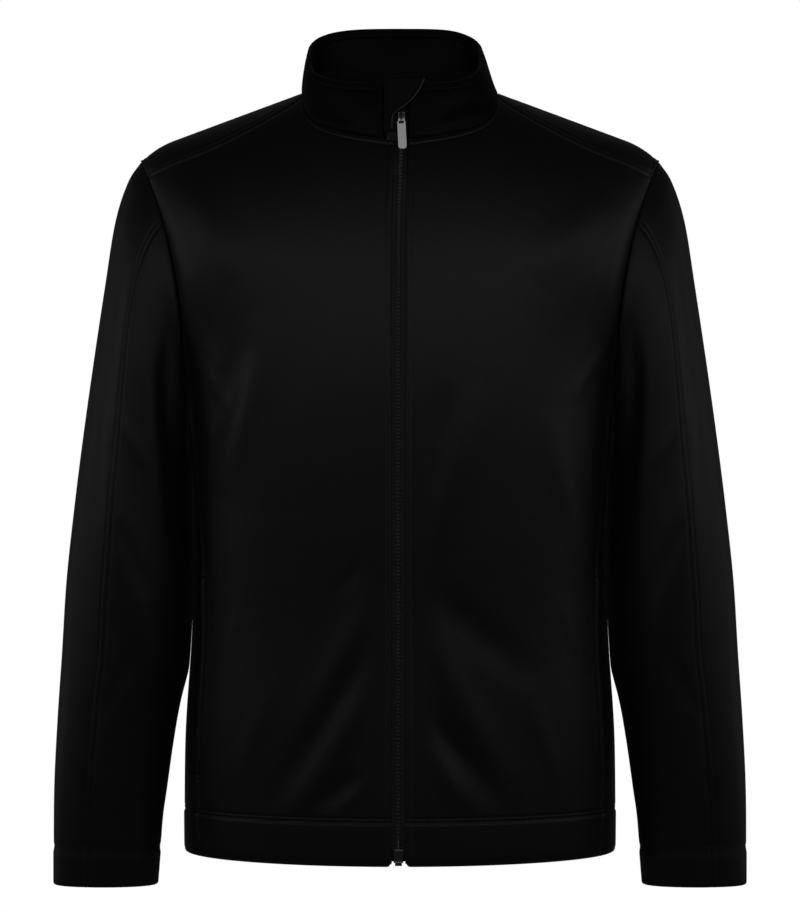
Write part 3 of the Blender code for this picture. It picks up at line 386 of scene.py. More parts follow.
@dataclass(frozen=True)
class BodyForm:
    """The worn body: a rounded tube that closes into an arch over each shoulder."""

    hem_z: float = -716.0
    underarm_z: float = -290.0
    underarm_x: float = 200.0
    shoulder_x: float = 245.0
    flare: float = 2.46
    armhole_front: float = 62.0
    armhole_back: float = 68.0
    neck_x: float = 93.0
    neck_front_z: float = -51.0
    neck_back_y: float = 72.0
    front_ridge: float = 10.0
    back_ridge: float = 60.0
    crown: float = 0.72
    fall: float = -0.37
    turn_x: float = 215.0
    turn_drop: float = 8.0
    front_arch: float = 2.2
    back_arch: float = 2.6
    corner_lift: float = 78.0
    seam_dip: float = 15.0
    back_corner: float = 0.8

    @property
    def power(self) -> float:
        """The corner exponent at the underarm."""
        return BODY_RINGS[-1]["power"]

    def ring(self, z: np.ndarray) -> tuple[np.ndarray, np.ndarray]:
        """Half width and corner exponent at heights."""
        return through(BODY_RINGS, "z", "width", z), through(BODY_RINGS, "z", "power", z)

    def lower(self, turn: np.ndarray, z: np.ndarray) -> np.ndarray:
        """The body below the underarm.

        Args:
            turn: 0 at the centre front, 1 at the side and 2 at the centre back.
            z: Heights.

        Returns:
            The points.
        """
        turn, z = np.broadcast_arrays(turn, z)
        width, power = self.ring(z)
        front, back = (through(BODY_RINGS, "z", half, z) for half in ("front", "back"))
        depth = np.where(turn <= 1.0, front, back)
        across, along = rounded(90.0 * turn, power)
        return np.stack([width * across, -depth * along, z], axis=-1)

    def ridge(self, x: np.ndarray, back: np.ndarray) -> np.ndarray:
        """Height of the shoulder ridge, carried on over the neck as a rounded top."""
        drop = np.maximum(0.0, (x - self.turn_x) / (self.shoulder_x - self.turn_x))
        slope = self.fall * (x - self.neck_x) - self.turn_drop * drop * drop
        top = np.where(back, self.back_ridge, self.front_ridge)
        crown = top * np.maximum(0.0, 1.0 - (x / self.neck_x) ** 2) ** self.crown
        return np.where(x >= self.neck_x, slope, crown)

    def upper(self, share: np.ndarray, lift: np.ndarray) -> np.ndarray:
        """The body above the underarm.

        Args:
            share: 0 at the centre and 1 at the armhole.
            lift: 0 is the front at the underarm, 90 the shoulder ridge, 180 the back.

        Returns:
            The points.
        """
        share, lift = np.broadcast_arrays(np.clip(share, 0.0, 1.0), np.clip(lift, 0.0, 180.0))
        back = lift > 90.0
        across, along = rounded(90.0 * share, self.power)
        arch = np.where(back, self.back_arch, self.front_arch)
        rise, reach = rounded(np.where(back, 180.0 - lift, lift), arch)
        x = across * (self.underarm_x + (self.shoulder_x - self.underarm_x) * rise**self.flare)
        depth = np.where(back, BODY_RINGS[-1]["back"], BODY_RINGS[-1]["front"]) * along * reach
        loop = np.where(back, self.armhole_back, self.armhole_front)
        loop = loop * np.sqrt(np.maximum(0.0, 1.0 - (2.0 * rise - 1.0) ** 2))
        depth = depth + share ** (2.0 + 6.0 * (1.0 - smooth_step(rise, 0.0, 0.4))) * loop
        z = self.underarm_z + (self.ridge(across * self.shoulder_x, back) - self.underarm_z) * rise
        return np.stack([x, np.where(back, depth, -depth), z], axis=-1)

    def turn_at(self, x: np.ndarray, z: np.ndarray) -> np.ndarray:
        """The turn, near the centre front, at which the body is x wide."""
        width, power = self.ring(z)
        return squared_part(x / width, power)

    def share_at(self, x: np.ndarray, lift: np.ndarray) -> np.ndarray:
        """The share, near the centre, at which the upper body is x wide."""
        rise = rounded(lift, self.front_arch)[0]
        half = self.underarm_x + (self.shoulder_x - self.underarm_x) * rise**self.flare
        return squared_part(x / half, self.power)

    def neck_front(self, part: np.ndarray) -> tuple[np.ndarray, np.ndarray]:
        """Share and lift on the front neck seam, from the centre (0) to the shoulder seam (1)."""
        ratio = np.sin(np.radians(90.0 * part))
        low = (self.neck_front_z - self.underarm_z) / (self.front_ridge - self.underarm_z)
        high = rounded(self.corner_lift, self.front_arch)[0]
        rise = low + (high - low) * (1.0 - np.maximum(0.0, 1.0 - ratio**1.5) ** 0.30)
        share = squared_part(ratio * self.neck_x / self.shoulder_x, self.power)
        return share, np.degrees(np.arcsin(np.minimum(1.0, rise ** (self.front_arch / 2.0))))

    def neck_back(self, part: np.ndarray) -> tuple[np.ndarray, np.ndarray]:
        """Share and lift on the back neck seam, from the centre (0) to the shoulder seam (1)."""
        part = np.asarray(part, float)
        across, along = rounded(90.0 * np.minimum(1.0, part / self.back_corner), 2.4)
        share = squared_part(across * self.neck_x / self.shoulder_x, self.power)
        depth = BODY_RINGS[-1]["back"] * rounded(90.0 * share, self.power)[1]
        reach = self.neck_back_y * np.maximum(0.0, along) / depth
        lift = 180.0 - np.degrees(np.arccos(np.minimum(1.0, reach ** (self.back_arch / 2.0))))
        over = np.maximum(0.0, (part - self.back_corner) / (1.0 - self.back_corner))
        return share, np.where(part > self.back_corner, 90.0 + (self.corner_lift - 90.0) * over, lift)

    def shoulder(self, part: np.ndarray) -> tuple[np.ndarray, np.ndarray]:
        """Share and lift on the forward shoulder seam, from the neck (0) to the armhole (1)."""
        corner = self.share_at(self.neck_x, 90.0)
        swing = np.sin(np.radians(90.0 * (np.maximum(0.0, part) / 0.554) ** 0.6))
        return corner + (1.0 - corner) * part, self.corner_lift - self.seam_dip * swing

    def panel_top(self, column: np.ndarray, back: bool, neck_share: float) -> tuple[np.ndarray, np.ndarray]:
        """Share and lift of a panel's top edge.

        Args:
            column: Places across the panel, 0 at the centre and 1 at the armhole.
            back: True for the back.
            neck_share: How much of the panel's top the neck seam takes.

        Returns:
            Shares and lifts.
        """
        neck_part = np.minimum(1.0, column / neck_share)
        neck = self.neck_back(neck_part) if back else self.neck_front(neck_part)
        seam = self.shoulder(np.maximum(0.0, (column - neck_share) / (1.0 - neck_share)))
        at_neck = column <= neck_share
        return np.where(at_neck, neck[0], seam[0]), np.where(at_neck, neck[1], seam[1])


@dataclass(frozen=True)
class SleeveForm:
    """A sleeve: rings from the armhole down to the cuff, with the wearer's arm in it."""

    body: BodyForm
    squareness: float = 2.15

    def ring(self, part: np.ndarray) -> dict[str, np.ndarray]:
        """The sizes of the rings, with the inner point measured from the body's side."""
        ring = {key: through(SLEEVE_RINGS, "part", key, part) for key in SLEEVE_RINGS[0] if key != "part"}
        off = through(SLEEVE_OFF, "z", "off", ring["in_z"])
        return ring | {"in_x": self.body.ring(ring["in_z"])[0] + off}

    def base(self, angle: np.ndarray, part: np.ndarray) -> np.ndarray:
        """Points of the left sleeve.

        Args:
            angle: From the outer line, the front positive, in degrees.
            part: 0 at the armhole and 1 at the cuff.

        Returns:
            The points.
        """
        angle, part = np.broadcast_arrays(angle, part)
        ring = self.ring(part)
        across, along = rounded(angle, 2.0 + (self.squareness - 2.0) * smooth_step(part, 0.0, 0.2))
        rise = 0.5 * (1.0 + along)
        spread = self.body.shoulder_x - self.body.underarm_x
        bow = spread * (rise**self.body.flare - rise) * (1.0 - smooth_step(part, 0.0, 0.3))
        middle = self.middle(part)
        reach_x, reach_z = 0.5 * (ring["out_x"] - ring["in_x"]), 0.5 * (ring["out_z"] - ring["in_z"])
        depth = np.where(across > 0.0, ring["front"], ring["back"])
        offset = np.stack([reach_x * along + bow, -depth * across, reach_z * along], axis=-1)
        return middle + offset

    def middle(self, part: np.ndarray) -> np.ndarray:
        """The middles of the left sleeve's rings."""
        ring = self.ring(part)
        return np.stack([0.5 * (ring["out_x"] + ring["in_x"]), ring["mid"],
                         0.5 * (ring["out_z"] + ring["in_z"])], axis=-1)

    def folds(self, angle: np.ndarray, z: np.ndarray, girth: np.ndarray) -> np.ndarray:
        """How far the folds stand out at angles and heights."""
        total = np.zeros_like(z)
        for fold in SLEEVE_FOLDS:
            part = (z - fold["z0"]) / (fold["z1"] - fold["z0"])
            away = angle - (fold["a0"] + (fold["a1"] - fold["a0"]) * part)
            away = ((away + 180.0) % 360.0 - 180.0) * girth / 360.0
            taper = np.sin(math.pi * np.clip((part + 0.15) / 1.3, 0.0, 1.0))
            total += fold["high"] * taper * np.exp(-((away / fold["half"]) ** 2))
        return total


@dataclass(frozen=True)
class CollarForm:
    """The stand collar, from the neck seam up to its rim."""

    body: BodyForm
    zip_line: ZipLine
    rim_x: float = 90.0
    rim_front_y: float = -75.0
    rim_back_y: float = 65.0
    rim_front_z: float = 1.0
    rim_back_z: float = 69.0
    rim_power: float = 3.2
    mid_y: float = -6.5
    half_y: float = 78.5
    right_edge: float = 15.5
    lean_right: float = 2.4
    lean_left: float = 11.5

    def leaned(self, points: np.ndarray, part: np.ndarray) -> np.ndarray:
        """Points of the collar, drawn in at its sides as it rises.

        Args:
            points: The points.
            part: How far up the collar they lie, from 0 to 1.

        Returns:
            The points in their places.
        """
        x = points[..., 0]
        pull = np.where(x > 0.0, -self.lean_left, self.lean_right) * smooth_step(np.abs(x), 30.0, 86.0)
        return points + (pull * np.clip(part, 0.0, 1.0) ** 0.6)[..., None] * np.array([1.0, 0.0, 0.0])

    def base_line(self, side: int, count: int = 240) -> np.ndarray:
        """The neck seam on one side.

        Args:
            side: -1 or 1.
            count: How many points each of its two halves has.

        Returns:
            Points from the centre back to the collar's front edge.
        """
        back = self.body.upper(*self.body.neck_back(np.linspace(0.0, 1.0, count)))
        front = self.body.upper(*self.body.neck_front(np.linspace(1.0, 0.0, count)[1:]))
        line = np.concatenate([back, front])
        edge = self.right_edge if side < 0 else float(self.zip_line.edge(1, self.body.neck_front_z))
        in_front = (np.arange(len(line)) > count) & (line[:, 0] < edge)
        line = line[~in_front]
        return mirrored(line, side)

    def rim(self, base: np.ndarray) -> np.ndarray:
        """The rim's points above points of the neck seam."""
        across, along = base[..., 0] / self.body.neck_x, (self.mid_y - base[..., 1]) / self.half_y
        size = (np.abs(across) ** self.rim_power + np.abs(along) ** self.rim_power) ** (1.0 / self.rim_power)
        across, along = across / size, along / size
        forward = 0.5 * (1.0 + along)
        y = self.rim_back_y + (self.rim_front_y - self.rim_back_y) * forward
        z = self.rim_back_z + (self.rim_front_z - self.rim_back_z) * forward
        return np.stack([self.rim_x * across, y, z], axis=-1)

    def inward(self, points: np.ndarray) -> np.ndarray:
        """The level way in from points of the collar."""
        return unit(np.stack([-points[..., 0], self.mid_y - points[..., 1], 0.0 * points[..., 0]], axis=-1))


@dataclass(frozen=True)
class FrontFace:
    """The jacket's outer face along the zip, which the zip's pieces lie on."""

    body: BodyForm
    collar: CollarForm

    def at(self, x: np.ndarray, z: np.ndarray) -> np.ndarray:
        """Points of the face.

        Args:
            x: Places across, close to the middle.
            z: Heights.

        Returns:
            The points.
        """
        x, z = np.broadcast_arrays(np.asarray(x, float), np.asarray(z, float))
        near = np.maximum(0.01, np.abs(x))
        neck_z, underarm_z = self.body.neck_front_z, self.body.underarm_z
        low = self.body.lower(self.body.turn_at(near, z), z)[..., 1]
        rise = (np.clip(z, underarm_z, neck_z) - underarm_z) / (self.body.front_ridge - underarm_z)
        lift = np.degrees(np.arcsin(np.clip(rise, 0.0, 1.0) ** (self.body.front_arch / 2.0)))
        high = self.body.upper(self.body.share_at(near, lift), lift)
        part = np.maximum(0.0, z - neck_z) / (self.collar.rim_front_z - neck_z)
        rim_y = self.collar.rim(high)[..., 1]
        y = np.where(z < underarm_z, low, high[..., 1] + (rim_y - high[..., 1]) * part)
        return np.stack([x, y, z], axis=-1)

    def normal(self, z: np.ndarray) -> np.ndarray:
        """Outward normals of the centre front."""
        z = np.minimum(np.asarray(z, float), self.collar.rim_front_z - 9.0)
        rise = self.at(0.5 + 0.0 * z, z + 2.0) - self.at(0.5 + 0.0 * z, z - 2.0)
        return unit(np.stack([0.0 * z, -rise[..., 2], rise[..., 1]], axis=-1))


class Edge(Enum):
    """The four edges of a panel's grid."""

    FIRST = "first column"
    LAST = "last column"
    BOTTOM = "first row"
    TOP = "last row"


def outward_normals(points: np.ndarray, middles: np.ndarray) -> np.ndarray:
    """Unit normals of a grid of points, away from its middles.

    Args:
        points: The grid, columns by rows by 3.
        middles: Points inside the form, of the same shape.

    Returns:
        The normals.
    """
    across, along = np.gradient(points, axis=0), np.gradient(points, axis=1)
    normals = unit(np.cross(across, along))
    away = np.sum(normals * (points - middles))
    return normals if away > 0.0 else -normals


def finished_mesh(name: str, builder: bmesh.types.BMesh) -> bpy.types.Mesh:
    """A mesh from a bmesh, which is freed."""
    mesh = bpy.data.meshes.new(name)
    builder.to_mesh(mesh)
    builder.free()
    return mesh


def bare_object(name: str, mesh: bpy.types.Mesh, material: bpy.types.Material,
                smooth: float = 35.0) -> bpy.types.Object:
    """An object for a mesh, shaded smooth apart from its sharp edges.

    Args:
        name: The object's name.
        mesh: Its mesh, in metres.
        material: Its finish.
        smooth: The angle in degrees past which an edge stays sharp.

    Returns:
        The object, linked to the scene.
    """
    mesh.name = name
    mesh.materials.clear()
    mesh.materials.append(material)
    mesh.shade_smooth()
    mesh.set_sharp_from_angle(angle=math.radians(smooth))
    made = bpy.data.objects.new(name, mesh)
    bpy.context.scene.collection.objects.link(made)
    return made


def grid_mesh(name: str, points: np.ndarray) -> bpy.types.Mesh:
    """A mesh on a grid of points, with a UV map in millimetres along the cloth.

    Args:
        name: The mesh's name.
        points: Columns by rows by 3, in millimetres.

    Returns:
        The mesh, in metres.
    """
    columns, rows = points.shape[0] - 1, points.shape[1] - 1
    builder = bmesh.new()
    builder.loops.layers.uv.new("UVMap")
    bmesh.ops.create_grid(builder, x_segments=columns, y_segments=rows, size=1.0, calc_uvs=True)
    mesh = finished_mesh(name, builder)
    raw = np.empty(3 * len(mesh.vertices))
    mesh.vertices.foreach_get("co", raw)
    raw = raw.reshape(-1, 3)
    column = np.rint((raw[:, 0] + 1.0) / 2.0 * columns).astype(int)
    row = np.rint((raw[:, 1] + 1.0) / 2.0 * rows).astype(int)
    mesh.vertices.foreach_set("co", (points[column, row] * MM).ravel())
    across = np.linalg.norm(np.diff(points, axis=0, prepend=points[:1]), axis=2).cumsum(axis=0)
    along = np.linalg.norm(np.diff(points, axis=1, prepend=points[:, :1]), axis=2).cumsum(axis=1)
    corner = np.empty(len(mesh.loops), dtype=int)
    mesh.loops.foreach_get("vertex_index", corner)
    place = np.stack([across[column, row], along[column, row]], axis=-1)[corner]
    mesh.uv_layers["UVMap"].data.foreach_set("uv", place.ravel())
    mesh.update()
    return mesh


@dataclass
class Panel:
    """One cut piece of cloth as a fine grid of points on its outer face.

    Attributes:
        name: The piece's name.
        points: Columns by rows by 3, in millimetres.
        normals: The outward normals of the same shape.
    """

    name: str
    points: np.ndarray
    normals: np.ndarray

    def distance(self, edge: Edge) -> np.ndarray:
        """How far along the cloth each point lies from an edge."""
        axis = 0 if edge in (Edge.FIRST, Edge.LAST) else 1
        lengths = np.linalg.norm(np.diff(self.points, axis=axis), axis=2)
        if edge in (Edge.FIRST, Edge.BOTTOM):
            return np.insert(lengths.cumsum(axis=axis), 0, 0.0, axis=axis)
        backward = np.flip(np.flip(lengths, axis=axis).cumsum(axis=axis), axis=axis)
        return np.insert(backward, backward.shape[axis], 0.0, axis=axis)

    def shift(self, height: np.ndarray) -> None:
        """Moves the points out along their normals by a height in millimetres."""
        self.points = self.points + self.normals * height[..., None]

    def relieve(self, edge: Edge, where: np.ndarray | float = 1.0, roll: float = 1.1,
                stitch: float = 0.0, welt: float = 0.5) -> None:
        """Rolls an edge into its seam, and sinks a line of topstitching beside it.

        Args:
            edge: The edge.
            where: A weight for each point, to leave out part of the edge.
            roll: How deep the edge turns in.
            stitch: How far from the edge the topstitching lies, 0 for none.
            welt: How much the double cloth between seam and stitching stands out.
        """
        away = self.distance(edge)
        height = -roll * np.exp(-((away / 1.9) ** 2))
        if stitch > 0.0:
            height += welt * smooth_step(away, 0.8, 2.6) * (1.0 - smooth_step(away, stitch - 1.4, stitch))
            height -= 0.55 * np.exp(-(((away - stitch) / 1.3) ** 2))
        self.shift(height * where)

    def groove(self, edge: Edge, inset: float, deep: float, half: float,
               where: np.ndarray | float = 1.0) -> None:
        """Sinks a line beside an edge.

        Args:
            edge: The edge.
            inset: How far from it the line lies.
            deep: How deep the line is, less than 0 for a ridge.
            half: Its half width.
            where: A weight for each point.
        """
        self.shift(-deep * np.exp(-(((self.distance(edge) - inset) / half) ** 2)) * where)

    def line(self, edge: Edge, inset: float,
             keep: np.ndarray | slice | None = None) -> tuple[np.ndarray, np.ndarray]:
        """The line that runs beside an edge.

        Args:
            edge: The edge.
            inset: How far from it the line lies, along the cloth.
            keep: Which rows or columns the line keeps, or None for all.

        Returns:
            The line's points and the outward normals there.
        """
        away, points, normals = self.distance(edge), self.points, self.normals
        if edge in (Edge.BOTTOM, Edge.TOP):
            away, points, normals = away.T, points.swapaxes(0, 1), normals.swapaxes(0, 1)
        if edge in (Edge.LAST, Edge.TOP):
            away, points, normals = away[::-1], points[::-1], normals[::-1]
        at = np.clip((away < inset).sum(axis=0) - 1, 0, len(away) - 2)
        ray = np.arange(away.shape[1])
        part = (inset - away[at, ray]) / np.maximum(away[at + 1, ray] - away[at, ray], 1e-6)
        part = np.clip(part, 0.0, 1.0)[:, None]
        place = points[at, ray] * (1.0 - part) + points[at + 1, ray] * part
        normal = unit(normals[at, ray] * (1.0 - part) + normals[at + 1, ray] * part)
        return (place, normal) if keep is None else (place[keep], normal[keep])

    def turn_up(self, edge: Edge, deep: float, thick: float) -> None:
        """Folds the cloth round an edge to the inside, as a hem.

        Args:
            edge: The bottom or top edge.
            deep: How far the turned cloth reaches back.
            thick: The distance between the hem's two faces.
        """
        flip = edge is Edge.TOP
        points = self.points[:, ::-1] if flip else self.points
        normals = self.normals[:, ::-1] if flip else self.normals
        reach = int((np.linalg.norm(np.diff(points[0], axis=0), axis=1).cumsum() < deep).sum())
        out = unit(points[:, :1] - points[:, 3:4])
        inside = points[:, reach:0:-2] - normals[:, reach:0:-2] * thick
        half = 0.5 * thick
        bend = [points[:, :1] - normals[:, :1] * (half * (1.0 - math.cos(turn)))
                + out * (half * math.sin(turn)) for turn in np.radians([150.0, 115.0, 80.0, 45.0])]
        inside_normals = -normals[:, reach:0:-2]
        self.points = np.concatenate([inside, *bend, points], axis=1)
        self.normals = np.concatenate([inside_normals, np.repeat(normals[:, :1], 4, axis=1), normals], axis=1)
        if flip:
            self.points, self.normals = self.points[:, ::-1], self.normals[:, ::-1]

    def cloth(self, material: bpy.types.Material, thick: float) -> bpy.types.Object:
        """The piece as a cloth wall.

        Args:
            material: Its finish.
            thick: The wall's thickness in millimetres.

        Returns:
            The object.
        """
        made = bare_object(self.name, grid_mesh(self.name, self.points), material, 60.0)
        face = made.data.polygons[len(made.data.polygons) // 2]
        middle = np.array(face.center) / MM
        nearest = np.argmin(np.linalg.norm(self.points.reshape(-1, 3) - middle, axis=1))
        if np.array(face.normal) @ self.normals.reshape(-1, 3)[nearest] < 0.0:
            made.data.flip_normals()
        wall = made.modifiers.new("wall", "SOLIDIFY")
        wall.thickness = thick * MM
        wall.offset = -1.0
        return made


def balls(name: str, turns: np.ndarray, middles: np.ndarray, around: int, high: int) -> bpy.types.Mesh:
    """Equal balls, each stretched, turned and put in its place.

    Args:
        name: The mesh's name.
        turns: A 3 by 3 matrix for each ball, in millimetres.
        middles: The balls' middles.
        around: How many segments each has round it.
        high: How many from pole to pole.

    Returns:
        The mesh, in metres.
    """
    builder = bmesh.new()
    bmesh.ops.create_uvsphere(builder, u_segments=around, v_segments=high, radius=1.0)
    each = len(builder.verts)
    while len(builder.verts) < each * len(middles):
        bmesh.ops.duplicate(builder, geom=builder.verts[:] + builder.edges[:] + builder.faces[:])
    bmesh.ops.delete(builder, geom=builder.verts[:][each * len(middles):], context="VERTS")
    mesh = finished_mesh(name, builder)
    raw = np.empty(3 * len(mesh.vertices))
    mesh.vertices.foreach_get("co", raw)
    raw = raw.reshape(len(middles), each, 3)
    placed = np.einsum("kij,kpj->kpi", turns, raw) + middles[:, None]
    mesh.vertices.foreach_set("co", (placed * MM).ravel())
    mesh.update()
    return mesh


def soften(builder: bmesh.types.BMesh, radius: float) -> None:
    """Rounds all the edges of a block."""
    bmesh.ops.bevel(builder, geom=builder.edges[:], offset=radius, segments=3, profile=0.5,
                    affect="EDGES", material=-1)


def settle(piece: bpy.types.Object, body: str, nodes: tuple[str, ...] = ()) -> bpy.types.Object:
    """Fastens a piece to its body and hides the nodes it stands for.

    Args:
        piece: The piece.
        body: The body it rides on.
        nodes: The nodes it replaces.

    Returns:
        The piece.
    """
    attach(piece, body)
    if nodes:
        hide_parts(*nodes)
    LOG.info("%s: %d faces", piece.name, len(piece.data.polygons))
    return piece


def linear(code: str) -> tuple[float, float, float, float]:
    """An sRGB hex colour as linear red, green, blue and alpha."""
    levels = (int(code[at : at + 2], 16) / 255.0 for at in (1, 3, 5))
    red, green, blue = (level / 12.92 if level <= 0.04045 else ((level + 0.055) / 1.055) ** 2.4
                        for level in levels)
    return red, green, blue, 1.0


def add_node(tree: bpy.types.NodeTree, kind: str, settings: dict | None = None,
             links: dict | None = None) -> bpy.types.Node:
    """Adds a node with its settings and links.

    Args:
        tree: The node tree.
        kind: The node's type.
        settings: Values for its input sockets, by name or number, or for its own properties.
        links: The sockets that its inputs come from.

    Returns:
        The node.
    """
    made = tree.nodes.new(kind)
    for key, value in (settings or {}).items():
        if isinstance(key, int) or key in made.inputs:
            made.inputs[key].default_value = value
        else:
            setattr(made, key, value)
    for key, source in (links or {}).items():
        tree.links.new(source, made.inputs[key])
    return made


def wave(tree: bpy.types.NodeTree, place: bpy.types.NodeSocket, pitch_mm: float) -> bpy.types.NodeSocket:
    """A sine wave along a place in millimetres."""
    turn = add_node(tree, "ShaderNodeMath", {"operation": "MULTIPLY", 1: math.tau / pitch_mm}, {0: place})
    return add_node(tree, "ShaderNodeMath", {"operation": "SINE"}, {0: turn.outputs[0]}).outputs[0]


def bump(tree: bpy.types.NodeTree, strength: float, distance: float, height: bpy.types.NodeSocket,
         below: bpy.types.NodeSocket | None = None) -> bpy.types.NodeSocket:
    """The normals of a bumpy face.

    Args:
        tree: The node tree.
        strength: How strongly the bumps show.
        distance: How high they are, in metres.
        height: The socket of their height.
        below: The normals that they lie on, if they aren't the mesh's own.

    Returns:
        The socket of the normals.
    """
    links = {"Height": height} if below is None else {"Height": height, "Normal": below}
    return add_node(tree, "ShaderNodeBump", {"Strength": strength, "Distance": distance}, links).outputs[0]


def shader_tree(name: str, values: dict[str, float | tuple]) -> tuple[bpy.types.Material, bpy.types.Node]:
    """A material and its Principled shader.

    Args:
        name: The material's name.
        values: Constant values for the shader's own sockets.

    Returns:
        The material and the shader.
    """
    material = bpy.data.materials.new(name)
    material.use_nodes = True
    shader = material.node_tree.nodes["Principled BSDF"]
    for socket, value in values.items():
        shader.inputs[socket].default_value = value
    return material, shader


@dataclass(frozen=True)
class FleeceFinish:
    """Polyester fleece with a smooth knitted face: fine wales, a soft satin sheen, near black."""

    name: str = "polyester_fleece_knit_face"
    dark: str = "#070708"
    light: str = "#0c0c0d"
    roughness: float = 0.48
    specular: float = 0.21
    sheen: float = 0.06
    sheen_roughness: float = 0.35
    wale_mm: float = 1.5
    course_mm: float = 1.2

    def material(self) -> bpy.types.Material:
        """The cloth's material: its knit follows the cloth's own UV map, which is in millimetres."""
        material, shader = shader_tree(self.name, {
            "Roughness": self.roughness, "Specular IOR Level": self.specular,
            "Sheen Weight": self.sheen, "Sheen Roughness": self.sheen_roughness,
        })
        tree = material.node_tree
        uv = add_node(tree, "ShaderNodeUVMap", {"uv_map": "UVMap"})
        split = add_node(tree, "ShaderNodeSeparateXYZ", links={0: uv.outputs[0]})
        wales = wave(tree, split.outputs[0], self.wale_mm)
        courses = wave(tree, split.outputs[1], self.course_mm)
        knit = add_node(tree, "ShaderNodeMath", {"operation": "MULTIPLY_ADD", 1: 0.6},
                        {0: wales, 2: courses})
        place = add_node(tree, "ShaderNodeTexCoord").outputs["Object"]
        soft = add_node(tree, "ShaderNodeTexNoise", {"Scale": 38.0, "Detail": 4.0, "Roughness": 0.6},
                        {"Vector": place}).outputs[0]
        fibre = add_node(tree, "ShaderNodeTexNoise", {"Scale": 900.0, "Detail": 2.0, "Roughness": 0.7},
                         {"Vector": place}).outputs[0]
        colour = add_node(tree, "ShaderNodeMix", {"data_type": "RGBA"}, {0: soft})
        colour.inputs[6].default_value = linear(self.dark)
        colour.inputs[7].default_value = linear(self.light)
        knitted = bump(tree, 0.05, 0.0002, knit.outputs[0])
        brushed = bump(tree, 0.16, 0.0006, fibre, knitted)
        tree.links.new(colour.outputs[2], shader.inputs["Base Color"])
        tree.links.new(bump(tree, 0.10, 0.003, soft, brushed), shader.inputs["Normal"])
        return material


@dataclass(frozen=True)
class TapeFinish:
    """Woven polyester tape: fine ribs, matt, black with a little red in it."""

    name: str = "woven_polyester_tape"
    colour: str = "#080506"
    roughness: float = 0.62
    specular: float = 0.12
    rib_mm: float = 1.1

    def material(self) -> bpy.types.Material:
        """The tape's material, with ribs across its own UV map."""
        material, shader = shader_tree(self.name, {
            "Base Color": linear(self.colour), "Roughness": self.roughness,
            "Specular IOR Level": self.specular,
        })
        tree = material.node_tree
        uv = add_node(tree, "ShaderNodeUVMap", {"uv_map": "UVMap"})
        split = add_node(tree, "ShaderNodeSeparateXYZ", links={0: uv.outputs[0]})
        ribs = wave(tree, split.outputs[1], self.rib_mm)
        yarns = wave(tree, split.outputs[0], 0.7 * self.rib_mm)
        weave = add_node(tree, "ShaderNodeMath", {"operation": "MULTIPLY_ADD", 1: 0.5}, {0: yarns, 2: ribs})
        tree.links.new(bump(tree, 0.35, 0.0002, weave.outputs[0]), shader.inputs["Normal"])
        return material


@dataclass(frozen=True)
class PlainFinish:
    """A hard or fine piece's finish, with a slight grain.

    Attributes:
        name: What the material is.
        colour: Its sRGB colour.
        roughness: Its roughness.
        metallic: 1 for a bare metal.
        specular: Its specular level.
        grain_mm: The size of its grain.
        grain: How strongly the grain shows.
        coat: How much clear coat lies on it.
    """

    name: str
    colour: str
    roughness: float
    metallic: float = 0.0
    specular: float = 0.5
    grain_mm: float = 0.5
    grain: float = 0.1
    coat: float = 0.0

    def material(self) -> bpy.types.Material:
        """The material."""
        material, shader = shader_tree(self.name, {
            "Base Color": linear(self.colour), "Metallic": self.metallic,
            "Specular IOR Level": self.specular, "Coat Weight": self.coat,
        })
        tree = material.node_tree
        place = add_node(tree, "ShaderNodeTexCoord")
        noise = add_node(tree, "ShaderNodeTexNoise", {"Scale": 250.0 / self.grain_mm, "Detail": 3.0},
                         {"Vector": place.outputs["Object"]}).outputs[0]
        rough = add_node(tree, "ShaderNodeMapRange",
                         {"To Min": self.roughness - 0.05, "To Max": self.roughness + 0.05}, {"Value": noise})
        tree.links.new(bump(tree, self.grain, 0.0002, noise), shader.inputs["Normal"])
        tree.links.new(rough.outputs[0], shader.inputs["Roughness"])
        return material


@dataclass
class Finishes:
    """The jacket's materials, each made once."""

    fleece: bpy.types.Material
    collar: bpy.types.Material
    tape: bpy.types.Material
    zip_tape: bpy.types.Material
    fold: bpy.types.Material
    coil: bpy.types.Material
    thread: bpy.types.Material
    enamel: bpy.types.Material
    tab: bpy.types.Material

    @classmethod
    def make(cls) -> "Finishes":
        """All the materials."""
        return cls(
            fleece=FleeceFinish().material(),
            # The same fleece painted darker, with less specular and sheen: painted shade on the collar
            collar=FleeceFinish("polyester_fleece_painted_shade", "#030304", "#070708", 0.5, 0.06,
                                0.02).material(),
            tape=TapeFinish().material(),
            # The tape's fold, painted lighter than the tape as a painted highlight along its edge, and a
            # little shinier
            fold=PlainFinish("folded_tape_edge_painted_highlight", "#1b1617", 0.45, specular=0.4).material(),
            # The zip's own tape, painted lighter than the other tapes to make up for the shade in the zip's
            # recess
            zip_tape=TapeFinish("woven_zip_tape_painted_light", "#181214", 0.6, 0.3).material(),
            # Nylon monofilament: dull, slightly see-through edges that read as dark grey
            coil=PlainFinish("nylon_coil", "#1c1719", 0.42, specular=0.4).material(),
            # Spun polyester thread: black with a faint lustre
            thread=PlainFinish("spun_polyester_thread", "#0b0b0d", 0.5, specular=0.3, grain_mm=0.3,
                               grain=0.3).material(),
            # Blackened zinc casting under a thin enamel: dark, with bright edges
            enamel=PlainFinish("black_enamelled_zinc", "#6c6c70", 0.2, 1.0, grain=0.03,
                               coat=0.4).material(),
            # Moulded grey rubbery plastic, matt
            tab=PlainFinish("moulded_grey_plastic", "#dcdce0", 0.55, specular=0.35,
                            grain=0.08).material(),
        )


